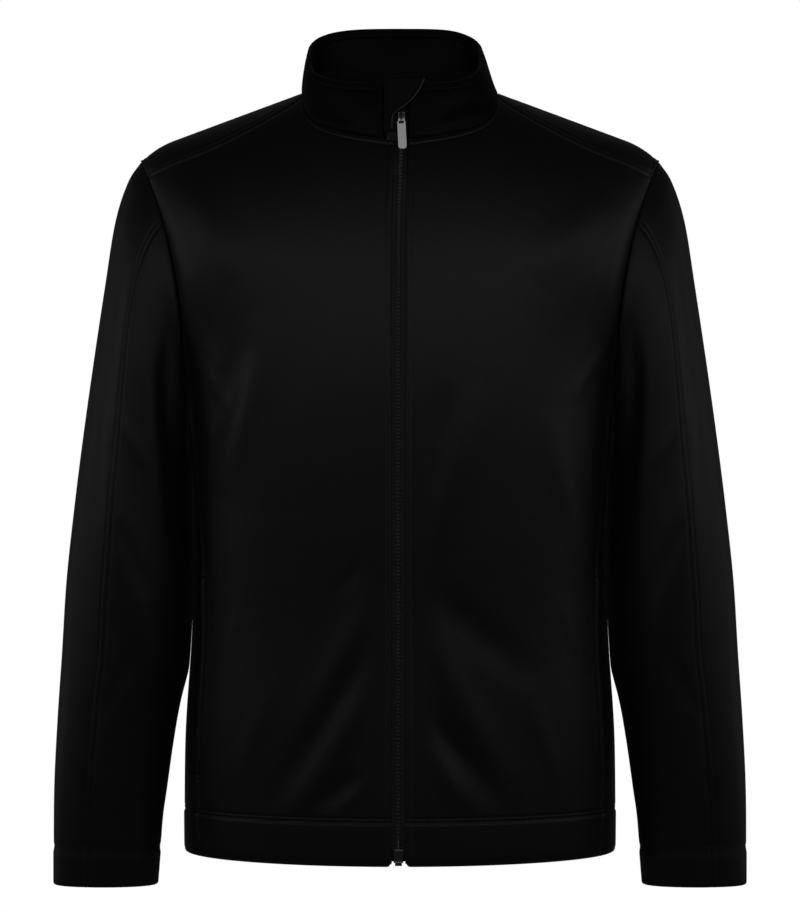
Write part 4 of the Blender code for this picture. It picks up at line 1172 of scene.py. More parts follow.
@dataclass
class Sewing:
    """Rows of stitches, which lie in the grooves of the topstitching.

    Attributes:
        finishes: The materials.
        pitch: The distance from one stitch to the next.
        long: A stitch's length.
        wide: Its width.
        high: How far it stands out.
    """

    finishes: Finishes
    pitch: float = 3.2
    long: float = 2.5
    wide: float = 0.62
    high: float = 0.42

    def row(self, points: np.ndarray, normals: np.ndarray) -> tuple[np.ndarray, np.ndarray]:
        """The stitches of one row.

        Args:
            points: The row's line, in millimetres.
            normals: The outward normals along it.

        Returns:
            Each stitch's matrix and its middle.
        """
        lengths = lengths_along(points)
        places = (np.arange(int(lengths[-1] / self.pitch)) + 0.5) * self.pitch
        at, ahead, behind = (read_line(places + off, lengths, points) for off in (0.0, 0.6, -0.6))
        up = unit(read_line(places, lengths, normals))
        way = unit(ahead - behind)
        across = unit(np.cross(up, way))
        up = np.cross(way, across)
        turns = np.stack([way * self.long / 2.0, across * self.wide / 2.0, up * self.high / 2.0], axis=-1)
        return turns, at + 0.1 * up

    def piece(self, name: str, rows: list[tuple[np.ndarray, np.ndarray]],
              slot: str = "fleece") -> bpy.types.Object:
        """A piece of sewing from several rows.

        Args:
            name: The piece's name.
            rows: The rows' lines and normals.
            slot: Not used.

        Returns:
            The object.
        """
        made = [self.row(points, normals) for points, normals in rows]
        turns, middles = (np.concatenate([row[part] for row in made]) for part in (0, 1))
        mesh = balls(name, turns, middles, 6, 4)
        return settle(bare_object(name, mesh, self.finishes.thread, 80.0), "jacket")


@dataclass
class Torso:
    """The two fronts and the back, which meet at the side and shoulder seams."""

    body: BodyForm
    zip_line: ZipLine
    finishes: Finishes
    sewing: Sewing
    thick: float = 1.8
    hem_deep: float = 38.0
    hem_thick: float = 4.4
    front_step: float = 3.6
    back_step: float = 4.2
    neck_share: float = 5.0 / 12.0
    front_spread: float = 1.15
    lower_long: float = 426.0
    upper_long: float = 315.0
    over_shoulder: float = 20.0
    front_wide: float = 270.0
    back_wide: float = 250.0
    front_gather: float = 1.35
    back_gather: float = 1.25
    edge_row: float = 7.0
    zip_stitch: float = 6.0
    seam_stitch: float = 6.0
    armhole_stitch: float = 7.0
    stitch_gap: float = 4.0
    fold_share: float = 0.62
    pocket_top: float = -452.0
    pocket_bottom: float = -645.0

    def levels(self, step: float) -> np.ndarray:
        """Heights of the rows below the underarm."""
        shares = spaced(self.lower_long, step, 0.0, self.hem_deep, self.hem_deep + self.stitch_gap)
        return self.body.hem_z + (self.body.underarm_z - self.body.hem_z) * shares

    def lifted(self, points: np.ndarray, turn: np.ndarray, folds: Rows, side: int, front: bool) -> Panel:
        """A panel with its folds, which die out at the zip, the sides and the hem.

        Args:
            points: The smooth panel of the wearer's left side, or the whole back.
            turn: How far round each point lies, 1 at the side seam.
            folds: The table of its folds.
            side: -1 or 1.
            front: True for a front.

        Returns:
            The panel, not yet named.
        """
        points = mirrored(points, side)
        normals = outward_normals(points, points * np.array([0.0, 0.0, 1.0]))
        x, z = points[..., 0], points[..., 2]
        fade = smooth_step(np.abs(turn - 1.0), 0.02, 0.18)
        fade = fade * smooth_step(z, self.body.hem_z + 34.0, self.body.hem_z + 62.0)
        if front:
            fade = fade * smooth_step(np.abs(x - self.zip_line.low_x), 18.0, 45.0)
        rise = np.clip((z - self.body.underarm_z) / 240.0, 0.0, 1.0)
        fade = fade * (1.0 - smooth_step(rise, 0.72, 0.98))
        height = self.fold_share * fade * fold_field(folds, x, z)
        return Panel("", points + normals * height[..., None], normals)

    def front(self, side: int) -> Panel:
        """One front's outer face, columns from the zip to the side."""
        fine = (0.0, self.zip_stitch, self.front_wide - self.edge_row, self.front_wide)
        column = spaced(self.front_wide, self.front_step, *fine)
        column = np.unique(np.append(column, self.neck_share))[:, None]
        across = column**self.front_spread
        z = self.levels(self.front_step)[None, :]
        start = self.body.turn_at(self.zip_line.edge(side, z), z)
        turn = start + (through(SIDE_SEAM, "z", "round", z) - start) * across
        lower = self.body.lower(turn, z)
        part = spaced(self.upper_long, self.front_step, self.upper_long - self.edge_row, self.upper_long)
        part = part[None, 1:] ** self.front_gather
        underarm = np.array(self.body.underarm_z)
        start = self.body.turn_at(self.zip_line.edge(side, underarm), underarm)
        low = start + (1.0 - start) * across
        top_share, top_lift = self.body.panel_top(column, False, self.neck_share)
        share, lift = low + (top_share - low) * part, top_lift * part
        rise = rounded(lift[:1], self.body.front_arch)[0]
        centre = self.body.underarm_z + (self.body.front_ridge - self.body.underarm_z) * rise
        exact = self.body.share_at(self.zip_line.edge(side, centre), lift[:1])
        share = share + (exact - share[:1]) * (1.0 - smooth_step(column, 0.0, 1.0 / 12.0))
        points = np.concatenate([lower, self.body.upper(share, lift)], axis=1)
        points = eased(points, self.body.underarm_z + 45.0, 72.0, 1.0 - smooth_step(column, 0.92, 1.0))
        turns = np.concatenate([np.broadcast_to(turn, lower.shape[:2]), share], axis=1)
        panel = self.lifted(points, turns, FRONT_FOLDS + FRONT_CREASES, side, True)
        panel.name = "front_" + dict(SIDES)[side] + "_cloth"
        return panel

    def back(self) -> Panel:
        """The back's outer face, columns from the wearer's right to the left."""
        half = spaced(self.back_wide, self.back_step, self.back_wide - self.edge_row, self.back_wide)
        half = np.unique(np.append(half, self.neck_share))[:, None]
        z = self.levels(self.back_step)[None, :]
        turn = 2.0 - (2.0 - through(SIDE_SEAM, "z", "round", z)) * half
        lower = self.body.lower(turn, z)
        long = self.upper_long + self.over_shoulder
        part = spaced(long, self.back_step, long - self.edge_row, long)[None, 1:] ** self.back_gather
        top_share, top_lift = self.body.panel_top(half, True, self.neck_share)
        share, lift = half + (top_share - half) * part, 180.0 + (top_lift - 180.0) * part
        points = np.concatenate([lower, self.body.upper(share, lift)], axis=1)
        turns = np.concatenate([np.broadcast_to(turn, lower.shape[:2]), 2.0 - share], axis=1)
        points = np.concatenate([mirrored(points, -1)[:0:-1], points], axis=0)
        turns = np.concatenate([turns[:0:-1], turns], axis=0)
        panel = self.lifted(points, turns, BACK_FOLDS, 1, False)
        panel.name = "back_cloth"
        return panel

    def hem(self, panel: Panel) -> None:
        """Sinks the hem's stitch lines and lifts its double cloth a little."""
        away = panel.distance(Edge.BOTTOM)
        panel.shift(0.6 * (1.0 - smooth_step(away, self.hem_deep - 3.0, self.hem_deep)))
        panel.groove(Edge.BOTTOM, self.hem_deep, 0.75, 1.4)
        panel.groove(Edge.BOTTOM, self.hem_deep + self.stitch_gap, 0.45, 1.2)
        panel.groove(Edge.BOTTOM, 0.0, 0.8, 2.5)

    def armhole(self, panel: Panel) -> np.ndarray:
        """A weight that is 1 along a panel's armhole and 0 below it."""
        return smooth_step(panel.points[..., 2], self.body.underarm_z, self.body.underarm_z + 25.0)

    def neck(self, panel: Panel) -> np.ndarray:
        """A weight that is 1 below the neck seam and 0 below the shoulder seams."""
        return 1.0 - smooth_step(np.abs(panel.points[..., 0]), 84.0, 92.0)

    def pocket_lip(self, panel: Panel, z: np.ndarray) -> None:
        """Lifts the edge of the pocket's slit, more towards its top, by the panel's flat heights."""
        in_pocket = smooth_step(z, self.pocket_bottom, self.pocket_bottom + 12.0)
        in_pocket *= 1.0 - smooth_step(z, self.pocket_top - 12.0, self.pocket_top)
        lip = np.exp(-((panel.distance(Edge.LAST) / 9.0) ** 2))
        bow = smooth_step(z, self.pocket_bottom, self.pocket_top - 40.0)
        panel.shift((1.4 + 1.4 * bow) * lip * in_pocket)

    def sew_front(self, side: int, word: str) -> None:
        """Makes one front, with its seams, pocket, hem and stitches."""
        panel = self.front(side)
        z, armhole = panel.points[..., 2], self.armhole(panel)
        panel.relieve(Edge.FIRST, stitch=self.zip_stitch, roll=0.9, welt=0.7)
        panel.relieve(Edge.LAST, where=1.0 - armhole, stitch=self.seam_stitch, welt=0.45)
        panel.relieve(Edge.LAST, where=armhole, roll=0.65)
        neck = self.neck(panel)
        panel.relieve(Edge.TOP, where=neck, stitch=self.seam_stitch, welt=0.4)
        panel.relieve(Edge.TOP, where=1.0 - neck, roll=0.7)
        self.pocket_lip(panel, z)
        self.hem(panel)
        near_zip = np.exp(-((panel.distance(Edge.FIRST) / 2.6) ** 2))
        panel.points[..., 2] += 3.0 * near_zip * np.exp(-((panel.distance(Edge.BOTTOM) / 7.0) ** 2))
        edge_z, top_x = panel.points[-1, :, 2], np.abs(panel.points[:, -1, 0])
        side_rows = (edge_z < self.body.underarm_z - 4.0) & (edge_z > self.body.hem_z + 46.0)
        hem_columns = slice(2, -2)
        rows = [
            panel.line(Edge.FIRST, self.zip_stitch),
            panel.line(Edge.LAST, self.seam_stitch, side_rows),
            panel.line(Edge.TOP, self.seam_stitch, (top_x > 9.0) & (top_x < 86.0)),
            panel.line(Edge.BOTTOM, self.hem_deep, hem_columns),
            panel.line(Edge.BOTTOM, self.hem_deep + self.stitch_gap, hem_columns),
        ]
        panel.turn_up(Edge.BOTTOM, self.hem_deep, self.hem_thick)
        wall = panel.cloth(self.finishes.fleece, self.thick)
        piece = settle(wall, "jacket", (f"front_{word}",))
        self.sewing.piece(f"front_{word}_stitches", rows)
        self.bartacks(word, panel)

    def sew_back(self) -> None:
        """Makes the back, with its seams, hem and stitches."""
        panel = self.back()
        armhole = self.armhole(panel)
        for edge in (Edge.FIRST, Edge.LAST):
            panel.relieve(edge, where=1.0 - armhole)
            panel.relieve(edge, where=armhole, welt=0.28, stitch=self.armhole_stitch, roll=0.65)
        neck = self.neck(panel)
        panel.relieve(Edge.TOP, where=neck, stitch=self.seam_stitch, welt=0.4, roll=0.3)
        panel.relieve(Edge.TOP, where=1.0 - neck, stitch=self.armhole_stitch, welt=0.35, roll=0.7)
        self.hem(panel)
        rows = []
        for edge, column in ((Edge.FIRST, 0), (Edge.LAST, -1)):
            above = panel.points[column, :, 2] > self.body.underarm_z + 20.0
            rows.append(panel.line(edge, self.armhole_stitch, above))
        top_x = panel.points[:, -1, 0]
        rows += [
            panel.line(Edge.TOP, self.seam_stitch, np.abs(top_x) < 86.0),
            panel.line(Edge.TOP, self.armhole_stitch, top_x > 94.0),
            panel.line(Edge.TOP, self.armhole_stitch, top_x < -94.0),
            panel.line(Edge.BOTTOM, self.hem_deep),
            panel.line(Edge.BOTTOM, self.hem_deep + self.stitch_gap),
        ]
        panel.turn_up(Edge.BOTTOM, self.hem_deep, self.hem_thick)
        piece = settle(panel.cloth(self.finishes.fleece, self.thick), "jacket", ("back",))
        self.sewing.piece("back_stitches", rows)

    def build(self) -> None:
        """Makes the two fronts and the back."""
        for side, word in SIDES:
            self.sew_front(side, word)
        self.sew_back()

    def bartacks(self, word: str, panel: Panel) -> None:
        """Dense stitches that close the two ends of a pocket."""
        tight = Sewing(self.finishes, pitch=0.75, long=0.9, wide=2.6, high=0.7)
        points, normals = panel.line(Edge.LAST, 4.5)
        rows = []
        for level in (self.pocket_top - 3.0, self.pocket_bottom + 3.0):
            at = int(np.abs(points[:, 2] - level).argmin())
            across = unit(panel.points[-2, at] - panel.points[-1, at])
            line = points[at] + across * np.linspace(-4.0, 4.0, 9)[:, None]
            rows.append((line, np.repeat(normals[at][None], 9, axis=0)))
        tight.piece(f"pocket_bartacks_{word}", rows)


@dataclass
class Sleeves:
    """Each sleeve's outer and inner half, with a seam down the front and the back."""

    form: SleeveForm
    finishes: Finishes
    sewing: Sewing
    thick: float = 1.8
    step: float = 3.8
    long: float = 640.0
    wide: float = 190.0
    cuff_deep: float = 33.0
    cuff_thick: float = 4.2
    seam_stitch: float = 6.0
    stitch_gap: float = 4.0
    front_seam: float = 63.0
    back_seam: float = -85.0
    drift: float = 14.0

    def panel(self, name: str, low: float, high: float, side: int) -> Panel:
        """A sleeve half between two angles from the outer line."""
        fine = (0.0, self.seam_stitch, self.wide - self.seam_stitch, self.wide)
        angle = (low + (high - low) * spaced(self.wide, self.step, *fine))[:, None]
        stitched = self.long - self.cuff_deep
        fine_end = (stitched - self.stitch_gap, stitched, self.long)
        part = spaced(self.long, self.step, 0.0, *fine_end)[None, :]
        bend = self.drift * smooth_step(part, 0.0, 0.5) * np.sin(np.radians(np.clip(angle, 0.0, 180.0)))
        angle = angle + bend
        points = mirrored(self.form.base(angle, part), side)
        middles = mirrored(self.form.middle(np.broadcast_to(part, angle.shape)), side)
        normals = outward_normals(points, middles)
        points = points + np.array([0.34 * side, 0.0, 0.0]) * (1.0 - smooth_step(part, 0.0, 0.03))[..., None]
        ring = self.form.ring(part)
        girth = math.pi * (0.5 * (ring["out_x"] - ring["in_x"]) + ring["front"])
        fade = smooth_step(part, 0.04, 0.14) * (1.0 - smooth_step(part, 0.86, 0.95))
        around = (angle + 180.0) % 360.0 - 180.0
        fade = fade * smooth_step(180.0 - np.abs(around), 0.0, 25.0)
        height = fade * self.form.folds(around, points[..., 2], girth)
        return Panel(name, points + normals * height[..., None], normals)

    def half(self, kind: str, word: str, panel: Panel, outer: bool) -> list[tuple[np.ndarray, np.ndarray]]:
        """Makes one half, with its seams and cuff.

        Args:
            kind: The half's kind, as its node names it.
            word: The side's name.
            panel: Its outer face.
            outer: True for the half that carries the topstitching.

        Returns:
            The lines of its stitches.
        """
        panel.relieve(Edge.BOTTOM, roll=0.7)
        clear = smooth_step(panel.distance(Edge.BOTTOM), 3.0, 14.0)
        for edge in (Edge.FIRST, Edge.LAST):
            panel.relieve(edge, where=clear, roll=0.5, welt=0.14, stitch=self.seam_stitch if outer else 0.0)
        away = panel.distance(Edge.TOP)
        panel.shift(0.5 * (1.0 - smooth_step(away, self.cuff_deep - 3.0, self.cuff_deep)))
        panel.groove(Edge.TOP, self.cuff_deep, 0.7, 1.3)
        panel.groove(Edge.TOP, self.cuff_deep + self.stitch_gap, 0.4, 1.2)
        seams = (Edge.LAST, Edge.FIRST) if outer else ()
        rows = [panel.line(edge, self.seam_stitch, slice(6, -14)) for edge in seams]
        rows += [panel.line(Edge.TOP, self.cuff_deep + gap) for gap in (0.0, self.stitch_gap)]
        panel.turn_up(Edge.TOP, self.cuff_deep, self.cuff_thick)
        wall = panel.cloth(self.finishes.fleece, self.thick)
        piece = settle(wall, "jacket", (f"{kind}_{word}",))
        return rows

    def build(self) -> None:
        """Makes the four halves, with their seams, cuffs and stitches."""
        halves = (
            ("top_sleeve", self.back_seam, self.front_seam, True),
            ("under_sleeve", self.front_seam, 360.0 + self.back_seam, False),
        )
        for side, word in SIDES:
            rows = []
            for kind, low, high, outer in halves:
                panel = self.panel(f"{kind}_{word}_cloth", low, high, side)
                rows += self.half(kind, word, panel, outer)
            self.sewing.piece(f"sleeve_stitches_{word}", rows)


@dataclass
class Collar:
    """The stand collar, folded along its rim, with the tape over its back seam."""

    form: CollarForm
    finishes: Finishes
    sewing: Sewing
    deep: float = 3.6
    tall: float = 55.0
    step: float = 3.4
    rows: int = 22
    rim_stitch: float = 6.0
    edge_stitch: float = 4.5
    base_gap: float = 0.1
    seam_cover: float = 3.0

    def base(self) -> np.ndarray:
        """The neck seam from the right front edge round the back to the left."""
        line = np.concatenate([self.form.base_line(-1)[:0:-1], self.form.base_line(1)])
        lengths = lengths_along(line)
        places = spaced(lengths[-1], self.step, 0.0, 5.0, lengths[-1] - 5.0, lengths[-1]) * lengths[-1]
        return read_line(places, lengths, line)

    def panel(self) -> Panel:
        """The collar's outer face."""
        base = self.base()
        rim = self.form.rim(base)
        near_edge = sum(np.exp(-((np.linalg.norm(base - end, axis=1) / 12.0) ** 2)) for end in base[[0, -1]])
        rim[:, 0] += (base[:, 0] - rim[:, 0]) * near_edge
        base = base + np.array([0.0, 0.0, self.base_gap])
        part = spaced(self.tall, self.tall / self.rows, 0.0, self.tall - self.rim_stitch, self.tall)
        part = part[None, :, None]
        points = self.form.leaned(base[:, None] * (1.0 - part) + rim[:, None] * part, part[..., 0])
        inward = self.form.inward(points)
        swell = 1.2 * np.sin(math.pi * part)
        points = points - inward * swell
        return Panel("collar_cloth", points, -inward)

    def build(self) -> None:
        """Makes the collar and its stitches, and the neck tape."""
        panel = self.panel()
        in_front = smooth_step(-panel.points[..., 1], 15.0, 50.0)
        top, bottom = (smooth_step(panel.distance(edge), 3.0, 12.0) for edge in (Edge.TOP, Edge.BOTTOM))
        dents = fold_field(COLLAR_FOLDS, panel.points[..., 0], panel.points[..., 2])
        panel.shift(in_front * top * bottom * dents)
        panel.relieve(Edge.BOTTOM, roll=1.0)
        for edge in (Edge.FIRST, Edge.LAST):
            panel.relieve(edge, roll=0.9, stitch=self.edge_stitch)
        panel.groove(Edge.TOP, self.rim_stitch, 0.55, 1.2)
        inside = Panel("", panel.points - panel.normals * self.deep, -panel.normals)
        inside.points[:, 0, 2] -= self.seam_cover
        rows = [
            panel.line(Edge.TOP, self.rim_stitch, slice(3, -3)),
            panel.line(Edge.FIRST, self.edge_stitch, slice(2, -3)),
            panel.line(Edge.LAST, self.edge_stitch, slice(2, -3)),
            inside.line(Edge.TOP, self.rim_stitch, slice(3, -3)),
        ]
        # The collar takes the fleece painted darker: painted shade.
        wall = self.folded(panel, inside).cloth(self.finishes.collar, 0.9)
        piece = settle(wall, "jacket", ("collar",))
        self.sewing.piece("collar_stitches", rows)
        self.tape()

    def folded(self, panel: Panel, inside: Panel) -> Panel:
        """The collar's two faces as one piece, folded along the rim.

        Args:
            panel: The outer face.
            inside: The inner face.

        Returns:
            The whole piece.
        """
        half, rim, out = 0.5 * self.deep, panel.points[:, -1:], panel.normals[:, -1:]
        up = np.array([0.0, 0.0, half])
        turns = np.radians([30, 65, 90, 115, 150])
        fold = [rim - out * (half * (1.0 - math.cos(turn))) + up * math.sin(turn) for turn in turns]
        points = np.concatenate([panel.points, *fold, inside.points[:, ::-1]], axis=1)
        under_rim = points[..., 2] - self.form.rim(points)[..., 2]
        points[..., 2] -= half * smooth_step(under_rim, -8.0, 0.0)
        over = np.repeat(out, len(turns), axis=1)
        normals = np.concatenate([panel.normals, over, inside.normals[:, ::-1]], axis=1)
        return Panel("collar_cloth", points, normals)

    def tape(self) -> None:
        """The woven tape over the back neck seam, inside the collar."""
        base = self.base()
        base = base[base[:, 1] > -2.0]
        rim = self.form.rim(base)
        up = unit(rim - base)
        inward = self.form.inward(base)
        heights = np.array([1.4, 1.9, 3.2, 5.0, 7.0, 9.0, 10.6, 11.6, 12.1])
        share = heights[None, :] / np.linalg.norm(rim - base, axis=1)[:, None]
        points = self.form.leaned(base[:, None] + up[:, None] * heights[None, :, None], share)
        hump = 0.5 * np.sin(math.pi * (heights - 1.4) / 10.7)
        points = points + inward[:, None] * (self.deep + 0.3 + hump)[None, :, None] * np.ones_like(points)
        normals = np.repeat(inward[:, None], len(heights), axis=1)
        panel = Panel("neck_tape_cloth", points, normals)
        piece = settle(panel.cloth(self.finishes.tape, 0.7), "jacket", ("neck_tape",))
        rows = [panel.line(edge, 1.6) for edge in (Edge.BOTTOM, Edge.TOP)]
        self.sewing.piece("neck_tape_stitches", rows, "trim")


@dataclass
class ZipGuard:
    """The strip that covers the zip's top: sewn to the right collar, folded over the rim."""

    face: FrontFace
    finishes: Finishes
    sewing: Sewing
    left_x: float = -15.1
    stand: float = 3.6
    lip: float = 0.8
    rise_over: float = 9.0
    crest_left: float = 0.8
    crest_right: float = 3.0
    tail: float = 12.0
    wall: float = 1.3
    fold_radius: float = 0.8

    def build(self) -> None:
        """Makes the guard and its row of stitches."""
        low, high = GUARD_EDGE[0]["z"], GUARD_EDGE[-1]["z"]
        across = spaced(30.0, 1.4, 0.0, 30.0)[:, None]
        part = spaced(46.0, 1.3)[None, :]
        z = low + (high - low) * part
        x = self.left_x + (through(GUARD_EDGE, "z", "x", z) - self.left_x) * across
        normal = self.face.normal(z + 0.0 * x)
        stand = self.stand * smooth_step(x, self.left_x, self.left_x + self.rise_over)
        stand = stand + self.lip * smooth_step(across, 0.6, 1.0)
        crest = self.crest_left + (self.crest_right - self.crest_left) * across
        points = self.face.at(x, z + 0.0 * x) + normal * stand[..., None]
        points[..., 2] += crest * smooth_step(part, 0.5, 1.0)
        half = 0.5 * self.reach
        turns = np.radians(np.arange(20.0, 181.0, 20.0))
        way = [np.array([0.0, -math.cos(turn), math.sin(turn)]) for turn in turns]
        middle = points[:, -1] + np.array([0.0, half, 0.0])
        over = np.stack([middle + half * step * np.array([0.0, 1.0, 0.9]) for step in way], axis=1)
        over_normals = np.repeat(np.stack(way)[None], len(points), axis=0)
        drops = np.linspace(2.0, self.tail, 6)
        tail = over[:, -1:] + np.stack([0.0 * drops, -0.12 * drops, -drops], axis=-1)[None]
        tail_normals = np.zeros_like(tail) + np.array([0.0, 1.0, 0.0])
        normals = np.concatenate([normal + 0.0 * points, over_normals, tail_normals], axis=1)
        panel = Panel("zip_guard_cloth", np.concatenate([points, over, tail], axis=1), normals)
        panel.groove(Edge.LAST, 1.1, -0.9, 0.8)
        panel.groove(Edge.LAST, 3.1, 0.6, 0.9)
        in_front = slice(1, len(part[0]))
        rows = [panel.line(Edge.LAST, 2.2, slice(2, -4)), panel.line(Edge.FIRST, 1.8, in_front)]
        piece = settle(panel.cloth(self.finishes.tape, self.wall), "jacket", ("zip_guard",))
        self.sewing.piece("zip_guard_stitches", rows, "trim")
        self.binding(*panel.line(Edge.LAST, 0.8, in_front))

    def binding(self, edge: np.ndarray, normals: np.ndarray) -> None:
        """The rounded fold along the guard's curved edge.

        Args:
            edge: The edge's line.
            normals: The outward normals along it.
        """
        way = unit(np.gradient(edge, axis=0))
        across = unit(np.cross(normals, way))
        turn = np.linspace(0.0, math.tau, 13)[:, None, None]
        points = edge + self.fold_radius * (np.cos(turn) * normals + np.sin(turn) * across)
        mesh = grid_mesh("zip_guard_fold", points)
        # The fold's material is painted lighter than the tape: a painted highlight.
        settle(bare_object("zip_guard_fold", mesh, self.finishes.fold), "jacket")

    @property
    def reach(self) -> float:
        """How far the guard's fold reaches from front to back."""
        return 3.5 + 2.0 * (self.stand + 0.9)


@dataclass
class PocketFacings:
    """The facing cloth that shows in each pocket's slit."""

    body: BodyForm
    finishes: Finishes
    top: float = -452.0
    bottom: float = -645.0
    reach: float = 0.053

    def build(self) -> None:
        """Makes the two facings."""
        for side, word in SIDES:
            z = np.linspace(self.bottom, self.top, 60)[None, :]
            off = np.linspace(-1.0, 1.0, 9)[:, None]
            turn = through(SIDE_SEAM, "z", "round", z) + off * self.reach
            points = mirrored(self.body.lower(turn, z), side)
            normals = outward_normals(points, points * np.array([0.0, 0.0, 1.0]))
            points = points - normals * (2.35 + 1.6 * np.abs(off))[..., None]
            piece = Panel(f"pocket_facing_{word}_cloth", points, normals).cloth(self.finishes.fleece, 1.0)
            settle(piece, "jacket", (f"pocket_facing_{word}",))


@dataclass
class Zip:
    """The zip's tapes, its coil of nylon turns and the box at the hem."""

    face: FrontFace
    zip_line: ZipLine
    finishes: Finishes
    sewing: Sewing
    tape_half: float = 14.0
    tape_clear: float = 0.05
    tape_wall: float = 0.6
    coil_half: float = 3.2
    coil_front: float = -0.1
    coil_over: float = 1.9
    open_out: float = 0.6
    open_in: float = 0.8
    open_top: float = -4.5
    tooth_pitch: float = 1.7
    tooth_tilt: float = 0.25
    tooth_high: float = 0.78
    tooth_deep: float = 0.62
    box_top: float = -702.0
    box_bottom: float = -714.5
    box_half: float = 4.4
    slider_z: float = -29.5
    slider_long: float = 10.0

    def tape_depth(self, z: np.ndarray) -> np.ndarray:
        """How far behind the face the tape lies: deeper behind the thicker collar."""
        return -2.45 - 1.6 * smooth_step(z, -74.0, -56.0)

    def tapes(self) -> None:
        """The two woven tapes."""
        for side, word in SIDES:
            z = np.linspace(-713.0, -2.8, 190)[None, :]
            edges = np.array([self.tape_clear, 1.0, 2.0, 4.0, 6.5, 9.5, 13.0, self.tape_half])[:, None]
            x = self.zip_line.x(z) + side * edges
            normal = self.face.normal(z + 0.0 * x)
            bead = 0.35 * np.exp(-(((edges - 1.2) / 0.8) ** 2))
            points = self.face.at(x, z + 0.0 * x) + normal * (self.tape_depth(z) + bead)[..., None]
            weave = Panel(f"zip_tape_{word}_weave", points, normal)
            # The zip tape's colour is painted lighter, to make up for the shade in the zip's recess.
            piece = weave.cloth(self.finishes.zip_tape, self.tape_wall)
            settle(piece, "jacket", (f"zip_tape_{word}",))

    def coil(self, node: str, low: float, high: float, *bars: tuple[float, float, float]) -> None:
        """A length of coil: for each turn, bars across it, rounded at their ends.

        Args:
            node: The node it stands for.
            low: Its lowest height.
            high: Its highest.
            bars: For each bar of a turn its left end, right end and place in the pitch.
        """
        turns, middles = [], []
        for x0, x1, place in bars:
            z = np.arange(low, high, self.tooth_pitch) + place * self.tooth_pitch
            line, normal = self.zip_line.x(z), self.face.normal(z)
            left = self.face.at(line + x0, z - 0.5 * self.tooth_tilt)
            right = self.face.at(line + x1, z + 0.5 * self.tooth_tilt)
            way = 0.5 * (right - left)
            up = unit(np.cross(unit(way), normal))
            turns.append(np.stack([way, up * self.tooth_high, normal * self.tooth_deep], axis=-1))
            middles.append(0.5 * (left + right) + normal * (self.coil_front - self.tooth_deep))
        name = f"{node}_turns"
        mesh = balls(name, np.concatenate(turns), np.concatenate(middles), 6, 5)
        settle(bare_object(name, mesh, self.finishes.coil, 80.0), "jacket", (node,))

    def coils(self) -> None:
        """The closed coil below the slider and the two open ends above it."""
        slider_top = self.slider_z + 0.5 * self.slider_long
        slider_low = self.slider_z - 0.5 * self.slider_long
        closed = ((-self.coil_half, self.coil_over, 0.0), (-self.coil_over, self.coil_half, 0.5))
        self.coil("zip_coil", self.box_top + 0.6, slider_low - 0.6, *closed)
        outer = self.coil_half + self.open_out
        self.coil("zip_coil_top_right", slider_top + 0.6, self.open_top, (-outer, -self.open_in, 0.0))
        self.coil("zip_coil_top_left", slider_top + 0.6, self.open_top, (self.open_in, outer, 0.0))
        rows = []
        for side in (-1, 1):
            z = np.linspace(self.box_top + 2.0, slider_low - 1.0, 200)
            x = self.zip_line.x(z) + side * 2.3
            normal = self.face.normal(z)
            rows.append((self.face.at(x, z) + normal * (self.coil_front + 0.05), normal))
        self.sewing.piece("zip_coil_stitches", rows, "zip_coil")

    def box(self) -> None:
        """The cast box at the hem: a rounded block with a sunk face and a tongue below it."""
        middle_z = 0.5 * (self.box_top + self.box_bottom)
        line = float(self.zip_line.x(middle_z))
        place = self.face.at(line, middle_z)
        half = np.array([self.box_half, 1.1, 0.5 * (self.box_top - self.box_bottom)])
        builder = bmesh.new()
        bmesh.ops.create_cube(builder, size=2.0)
        for vertex in builder.verts:
            vertex.co = Vector(np.array(vertex.co) * half)
        soften(builder, 0.55)
        front = [face for face in builder.faces if face.normal.y < -0.99]
        bmesh.ops.inset_region(builder, faces=front, thickness=0.9, depth=-0.35)
        tongue = bmesh.ops.create_cube(builder, size=2.0)["verts"]
        bmesh.ops.scale(builder, vec=(0.72 * half[0], 0.8, 1.6), verts=tongue)
        bmesh.ops.translate(builder, vec=(0.0, 0.0, -half[2] - 0.9), verts=tongue)
        offset = np.array([place[0], place[1] + 0.35, middle_z])
        for vertex in builder.verts:
            vertex.co = Vector((np.array(vertex.co) + offset) * MM)
        mesh = finished_mesh("zip_box_casting", builder)
        piece = bare_object(mesh.name, mesh, self.finishes.enamel)
        settle(piece, "jacket", ("zip_bottom_box",))

    def build(self) -> None:
        """Makes the tapes, the coil and the box."""
        self.tapes()
        self.coils()
        self.box()


